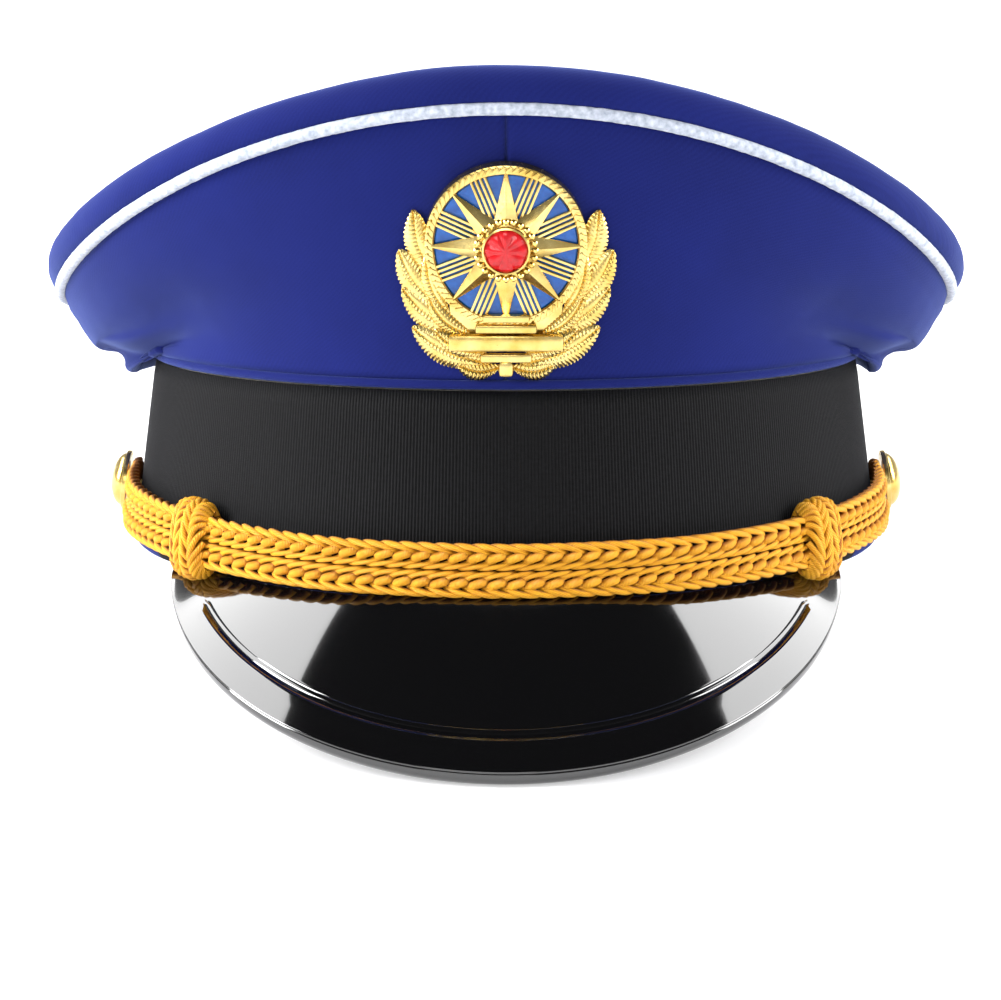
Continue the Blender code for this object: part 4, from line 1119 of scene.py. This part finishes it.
def build_row(name, node, side):
    """One plaited row. side is 1 for the upper row; the lower one is the same, turned half round."""
    middle = side * (ROW_WIDTH + ROW_GAP) / 2
    stitches = round(STRAP_LENGTH / STITCH)
    pitch = STRAP_LENGTH / stitches
    pieces = []
    for part, points, radius in STRANDS:
        paths = []
        for number in range(-1, stitches + 1):
            path = []
            for along, up, out in points if side > 0 else points[::-1]:
                distance = (number + 0.5 + side * along) * pitch
                flat = mix(0.45, 1, smooth(min(distance, STRAP_LENGTH - distance), 3 * MM, 14 * MM))
                path.append(strap_point(strap_angle(distance), out * flat * MM, middle + side * up * MM))
            paths.append(path)
        pieces.append(cords(name + "_" + part, paths, radius * MM))
    row = joined(name, pieces)
    # The mask for the painted shade between the strands.
    mark_painted_shade(row, lambda point: Vector((point.x / BAND_HALF_WIDTH**2, point.y / BAND_HALF_LENGTH**2, 0)))
    finish_piece(row, CORD, "chin_strap", [node])


KNOT_COLUMNS = 4
KNOT_STRAND = 0.82 * MM
KNOT_BULGE = 1.3 * MM


def build_knot(name, side):
    """A woven slide: columns of short steep strands round both rows, slanted one way and then the other."""
    angle = side * KNOT_ANGLE
    out_way, up_way = strap_section(angle)
    along_way = out_way.cross(up_way).normalized()
    centre = strap_point(angle)
    half_out = ROW_THICK / 2 + KNOT_BORE_CLEAR + KNOT_STRAND
    half_up = ROW_WIDTH + ROW_GAP / 2 + GAP + KNOT_STRAND
    half_length = KNOT_LENGTH / 2 - KNOT_STRAND

    def ring_point(along, turn, lift):
        """A point on the slide's rounded oblong section, higher in the middle of its length."""
        pressed = 0.35 if math.cos(turn) < -0.3 else 1
        bulge = (KNOT_BULGE * (1 - (along / half_length) ** 2) + lift) * pressed
        out = math.copysign(abs(math.cos(turn)) ** 0.75, math.cos(turn)) * (half_out + bulge)
        up = math.copysign(abs(math.sin(turn)) ** 0.75, math.sin(turn)) * (half_up + bulge)
        return centre + along_way * along + out_way * out + up_way * up

    count = 20
    width = 2 * half_length / KNOT_COLUMNS
    paths = []
    for column in range(KNOT_COLUMNS):
        slant = 1 if column % 2 else -1
        start = -half_length + column * width
        for number in range(count):
            first = 2 * math.pi * (number + 0.5 * slant) / count
            path = []
            for share in (-0.15, 0.0, 0.25, 0.5, 0.75, 1.0, 1.15):
                lift = mix(-1.1, 0.55, math.sin(math.pi * (share + 0.15) / 1.3)) * MM
                turn = first + slant * 2.3 * (share - 0.5) * 2 * math.pi / count
                path.append(ring_point(start + share * width, turn, lift))
            paths.append(path)
    weave = cords(name + "_strands", paths, KNOT_STRAND)
    # The mask for the painted shade between the strands.
    mark_painted_shade(weave, lambda point: point - CAP @ centre)
    body = {"left": "left_slide", "right": "right_slide"}[name.split("_")[0]]
    finish_piece(weave, CORD, body, [name])


def build_cord_loop(name, side):
    """The eye behind a button: three strands twisted round the shank."""
    seat = button_frame(side, ROW_THICK / 2 + STRAP_CLEAR)
    count = 96
    paths = []
    for strand in range(3):
        path = []
        for i in range(count):
            turn = 2 * math.pi * i / count
            twist = 7 * turn + strand * 2 * math.pi / 3
            radius = LOOP_RADIUS - 2.1 * MM + 0.9 * MM * math.cos(twist)
            level = (radius * math.cos(turn), radius * math.sin(turn))
            path.append(seat @ Vector((*level, 0.75 * MM * math.sin(twist))))
        paths.append(path)
    loop = cords(name + "_twisted", paths, 0.8 * MM, closed=True, fine=1)
    # The mask for the painted shade between the strands.
    mark_painted_shade(loop, lambda point: Vector((point.x, 0, 0)))
    finish_piece(loop, CORD, "chin_strap", [name])


# ---------------------------------------------------------------- side buttons

def build_button(name, side):
    """The domed front: a smooth dome inside a fine raised rim."""
    base = STRAP_CLEAR + ROW_THICK + GAP
    rim = BUTTON_BACK
    bulge = BUTTON_DOME - 0.2 * MM
    inside = BUTTON_RADIUS - BUTTON_WALL
    profile = []
    steps = 20
    for step in range(steps + 1):
        turn = math.pi / 2 * step / steps
        profile.append((0.9 * BUTTON_RADIUS * math.sin(turn), rim + 0.2 * MM + bulge * math.cos(turn)))
    for share, rise in ((0.91, 0), (0.93, 0.25), (0.965, 0.34), (0.99, 0.22), (1, -0.1)):
        profile.append((share * BUTTON_RADIUS, rim + rise * MM))
    profile += [(BUTTON_RADIUS, 0.12 * MM), (BUTTON_RADIUS - 0.12 * MM, 0), (inside, 0)]
    for step in range(steps + 1):
        turn = math.pi / 2 * (1 - step / steps)
        profile.append((inside * math.sin(turn) * 0.93, rim + (BUTTON_DOME - BUTTON_WALL) * math.cos(turn)))
    dome = turned(name + "_button_gilt_dome", profile, steps=64)
    edit(dome, face_out)
    dome.data.transform(CAP @ button_frame(side, base))
    smooth_shade(dome, 35)
    finish_piece(dome, GILT, name + "_button", [name + "_button_dome"])


# ---------------------------------------------------------------- badge

DISC_SEEN = BADGE_DISC_RADIUS - 1.6 * MM  # the wreath covers the disc's outer edge
DISC_RISE = BADGE_DISC_RISE + 1.6 * MM
ROSETTE_SEEN = DISC_SEEN - 0.5 * MM
PLATE_BACK = 3 * GAP
PLATE_FRONT = PLATE_BACK + BADGE_LAYER
ENAMEL_BACK = PLATE_FRONT + GAP
ENAMEL_FRONT = ENAMEL_BACK + ENAMEL_THICK
STAR_BACK = ENAMEL_FRONT + GAP
STAR_FRONT = STAR_BACK + ROSETTE_HEIGHT
BOSS_BACK = STAR_FRONT + GAP
BEADS = 24


def to_badge(obj, high=0.0):
    """Bends a flat piece, modelled with Z out, onto the crown's front."""
    for vertex in obj.data.vertices:
        x, y, z = vertex.co
        vertex.co = CAP @ badge_point(x, y + high, z)
    edit(obj, face_out)
    return obj


def flat_bar(name, start, stop, width, bottom, top):
    """A bar from one flat point to another, with its upper edges bevelled."""
    run = Vector(stop) - Vector(start)
    bpy.ops.object.select_all(action="DESELECT")
    bpy.ops.mesh.primitive_cube_add(size=1)
    bar = bpy.context.object
    bar.name = name
    turn = math.atan2(run.y, run.x)
    middle = (Vector(start) + Vector(stop)) / 2
    bar.data.transform(Matrix.Diagonal((run.length, width, top - bottom, 1)))
    apply_modifier(bar, "BEVEL", width=width * 0.28, segments=2, limit_method="ANGLE")
    place = Matrix.Translation((middle.x, middle.y, (top + bottom) / 2))
    bar.data.transform(place @ Matrix.Rotation(turn, 4, "Z"))
    return bar


def build_badge_plate():
    """The gilt disc: a corded rim, and eight groups of fine bars between the rosette's points."""
    radius = DISC_SEEN
    rim_in = radius - 2.4 * MM
    rim_top = STAR_BACK + 0.5 * MM
    profile = [
        (0, PLATE_FRONT), (rim_in, PLATE_FRONT), (rim_in, rim_top - 0.4 * MM), (rim_in + 0.3 * MM, rim_top),
        (radius - 1.3 * MM, rim_top + 0.1 * MM), (radius - 0.4 * MM, rim_top - 0.3 * MM),
        (radius, PLATE_FRONT), (radius, PLATE_BACK), (0, PLATE_BACK),
    ]
    pieces = [turned("badge_disc", profile)]
    for group in range(ROSETTE_POINTS):
        turn = 2 * math.pi * (group + 0.5) / ROSETTE_POINTS
        ahead = Vector((math.sin(turn), math.cos(turn)))
        across = Vector((ahead.y, -ahead.x))
        for place in (-1.5, -0.5, 0.5, 1.5):
            beside = across * place * 1.05 * MM
            start = ahead * 7 * MM + beside
            stop = ahead * math.sqrt((rim_in + 0.5 * MM) ** 2 - beside.length_squared) + beside
            depth = (PLATE_FRONT - 0.1 * MM, STAR_BACK + 0.35 * MM)
            pieces.append(flat_bar("badge_bar", start, stop, 0.62 * MM, *depth))
    notches = 72
    for number in range(notches):
        turn = 2 * math.pi * number / notches
        slant = turn + 0.07
        start = Vector((math.sin(turn), math.cos(turn))) * (rim_in + 0.5 * MM)
        stop = Vector((math.sin(slant), math.cos(slant))) * (radius - 0.5 * MM)
        pieces.append(flat_bar("badge_cord", start, stop, 0.75 * MM, rim_top - 0.3 * MM, rim_top + 0.35 * MM))
    plate = to_badge(joined("badge_gilt_plate", pieces), DISC_RISE)
    smooth_shade(plate, 30)
    finish_piece(plate, GILT, "cap", ["badge_plate"])


def build_badge_enamel():
    """The blue field that lies in the disc."""
    radius = DISC_SEEN - 2 * MM - GAP
    profile = [
        (0, ENAMEL_FRONT), (radius - 0.3 * MM, ENAMEL_FRONT), (radius, ENAMEL_BACK + 0.2 * MM),
        (radius, ENAMEL_BACK), (0, ENAMEL_BACK),
    ]
    field = to_badge(turned("badge_blue_field", profile), DISC_RISE)
    smooth_shade(field, 30)
    finish_piece(field, BLUE_ENAMEL, "cap", ["badge_enamel"])


def build_rosette():
    """The eight-pointed rosette: a ridge down the middle of each point, with a facet on either side."""
    count = 2 * ROSETTE_POINTS
    ring = []
    for spoke in range(count):
        reach = ROSETTE_SEEN * (0.38 if spoke % 2 else 1)
        turn = 2 * math.pi * spoke / count
        ring.append((reach * math.sin(turn), reach * math.cos(turn)))
    points = [(0, 0, STAR_FRONT + 1.3 * MM)]
    points += [(x, y, STAR_BACK + (0.25 if spoke % 2 else 0.5) * MM) for spoke, (x, y) in enumerate(ring)]
    points += [(x, y, STAR_BACK) for x, y in ring]
    points += [(0, 0, STAR_BACK)]
    faces = []
    for spoke in range(count):
        here, there = 1 + spoke, 1 + (spoke + 1) % count
        faces.append((0, there, here))
        faces.append((here, there, there + count, here + count))
        faces.append((here + count, there + count, 2 * count + 1))
    mesh = bpy.data.meshes.new("badge_gilt_rosette")
    mesh.from_pydata(points, [], faces)
    rosette = bpy.data.objects.new("badge_gilt_rosette", mesh)
    bpy.context.scene.collection.objects.link(rosette)
    edit(rosette, face_out)
    sharp = {"limit_method": "ANGLE", "angle_limit": math.radians(12)}
    apply_modifier(rosette, "BEVEL", width=0.12 * MM, segments=2, **sharp)
    beads = [rosette]
    bead_ring = BOSS_RADIUS + 1.0 * MM
    for number in range(BEADS):
        turn = 2 * math.pi * number / BEADS
        bpy.ops.object.select_all(action="DESELECT")
        bpy.ops.mesh.primitive_uv_sphere_add(segments=10, ring_count=6, radius=0.75 * MM)
        bead = bpy.context.object
        place = (bead_ring * math.sin(turn), bead_ring * math.cos(turn), STAR_FRONT + 0.3 * MM)
        bead.data.transform(Matrix.Translation(place))
        beads.append(bead)
    rosette = to_badge(joined("badge_gilt_rosette", beads), DISC_RISE)
    smooth_shade(rosette, 20)
    finish_piece(rosette, GILT, "cap", ["badge_rosette"])


def build_boss():
    """The red enamel boss: a cushion of eight soft lobes in a gilt cup."""
    steps = 12
    cushion = 0.86 * BOSS_RADIUS
    profile = []
    for step in range(steps + 1):
        turn = math.pi / 2 * step / steps
        high = BOSS_BACK + 0.3 * MM + (BOSS_HEIGHT - 0.3 * MM) * math.cos(turn)
        profile.append((cushion * math.sin(turn), high))
    profile += [(cushion, BOSS_BACK), (0, BOSS_BACK)]
    boss = turned("badge_red_boss", profile)
    for vertex in boss.data.vertices:
        x, y, z = vertex.co
        if z > BOSS_BACK + 0.35 * MM:
            valley = 1 - abs(math.cos(4 * math.atan2(x, y)))
            vertex.co.z -= 0.35 * MM * valley * smooth(math.hypot(x, y) / BOSS_RADIUS, 0.05, 0.6)
    to_badge(boss, DISC_RISE)
    smooth_shade(boss, 30)
    finish_piece(boss, RED_ENAMEL, "cap", ["badge_boss"])
    rim = ((0.86, 0), (0.86, 0.5), (0.9, 0.75), (0.97, 0.6), (1, 0), (0.86, 0))
    profile = [(share * BOSS_RADIUS, BOSS_BACK + rise * MM) for share, rise in rim]
    cup = to_badge(turned("badge_boss_rim", profile), DISC_RISE)
    smooth_shade(cup, 30)
    cup.data.materials.append(GILT)
    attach(cup, "cap")


VEIN_PITCH = 0.85 * MM
# The leaves of one branch, outer row first: foot, tip, width and lift, in mm from the badge's middle.
LEAVES = (
    ((14.6, -3.0), (20.6, 12.0), 6.2, 0.0), ((13.8, -8.5), (23.9, 3.4), 6.2, 0.25),
    ((9.0, -13.6), (23.2, -4.8), 6.4, 0.5), ((3.5, -20.4), (20.8, -13.2), 6.4, 0.75),
    ((12.4, -10.0), (17.4, 3.0), 4.2, 0.9), ((8.0, -14.2), (17.2, -5.6), 4.2, 1.1),
    ((4.0, -17.6), (15.8, -13.4), 4.4, 1.3), ((1.0, -21.2), (11.6, -20.2), 4.4, 0.6),
)


def leaf(name, foot, tip, width, base):
    """A laurel leaf: pointed, arched, with a deep midrib and slanted veins that notch its edge."""
    run = Vector(tip) - Vector(foot)
    veins = run.length * MM / VEIN_PITCH
    side = math.copysign(1, foot[0])
    turn = Matrix.Rotation(math.atan2(run.y, run.x) - math.pi / 2, 4, "Z")
    bpy.ops.object.select_all(action="DESELECT")
    bpy.ops.mesh.primitive_grid_add(x_subdivisions=10, y_subdivisions=90, size=1)
    obj = bpy.context.object
    obj.name = name
    for vertex in obj.data.vertices:
        across, along = vertex.co.x * 2, vertex.co.y + 0.5
        wave = math.cos((along * veins - abs(across) * 1.6) * 2 * math.pi)
        full = math.sin(math.pi * along**1.2) ** 0.55 if 0 < along < 1 else 0
        half = width / 2 * full * (1 + 0.03 * wave * abs(across))
        arch = 1.2 * (1 - across**2) * full
        rib = -0.55 * (1 - min(1, abs(across) * 4))
        vein = 0.13 * wave * min(1, 4 * abs(across))
        curl = side * 1.6 * math.sin(math.pi * along)
        high = arch + (rib + vein) * min(1, half)
        vertex.co = Vector((across * half + curl, along * run.length, high)) * MM
    apply_modifier(obj, "SOLIDIFY", thickness=0.5 * MM, offset=-1)
    obj.data.transform(Matrix.Translation((foot[0] * MM, foot[1] * MM, base)) @ turn)
    return obj


def build_wreath():
    """Two laurel branches that meet under the disc and hold it: an outer row of leaves under an inner one."""
    base = PLATE_BACK + 0.5 * MM
    pieces = []
    for side in (1, -1):
        for foot, tip, width, lift in LEAVES:
            ends = [(side * x, y) for x, y in (foot, tip)]
            pieces.append(leaf("wreath_leaf", *ends, width, base + lift * MM))
    pieces.extend(build_ribbon(base + 1.4 * MM))
    wreath = to_badge(joined("badge_laurel_wreath", pieces), 0)
    smooth_shade(wreath, 40)
    finish_piece(wreath, GILT, "cap", ["badge_wreath"])


# The ribbon's bars: half length, height of the middle, width, lower and upper face, in millimetres.
RIBBON_BARS = (
    ("back", 12.5, -12, 12, -1.3, -0.3), ("band", 12.6, -15.6, 3.9, 0, 2.2),
    ("ledge", 6.6, -12.2, 1.9, 0, 2.3), ("step", 5, -10.0, 1.7, 0, 2.0),
    ("hem", 5.6, -19.0, 2.0, -0.6, 1.1), ("tie", 1.7, -21.4, 3.6, -1.2, 1.3),
)


def build_ribbon(base):
    """The plain band across the wreath's foot, the two steps over it, and the tie under it."""
    bars = []
    for name, half, high, width, low, top in RIBBON_BARS:
        ends = ((-half * MM, high * MM), (half * MM, high * MM))
        bars.append(flat_bar("ribbon_" + name, *ends, width * MM, base + low * MM, base + top * MM))
    return bars


# ---------------------------------------------------------------- the rest of the CAD's pieces

CARRIED = {
    "crown_hoop": STEEL, "front_stay": STEEL, "left_washer": STEEL, "right_washer": STEEL,
    "left_split_pin": STEEL, "right_split_pin": STEEL, "band_stiffener": BOARD, "front_plate": BOARD,
    "sweat_shield": FILM, "left_button_back": GILT, "right_button_back": GILT,
    "left_badge_post": GILT, "right_badge_post": GILT, "left_badge_nut": GILT, "right_badge_nut": GILT,
}


def finish_carried():
    for name, material in CARRIED.items():
        node = frame["nodes"][name]
        node.data.materials.clear()
        node.data.materials.append(material)


set_camera()
set_studio()
build_ribbed_band()
build_band_cloth()
build_sweatband()
build_welt()
build_crown_sides()
build_crown_top()
build_wadding()
build_piping()
build_lining()
build_visor()
build_trim()
build_row("cord_upper_plait", "cord_upper_row", 1)
build_row("cord_lower_plait", "cord_lower_row", -1)
for name, side in SIDES:
    build_knot(name + "_knot", side)
    build_cord_loop(name + "_cord_loop", side)
    build_button(name, side)
build_badge_plate()
build_badge_enamel()
build_wreath()
build_rosette()
build_boss()
finish_carried()
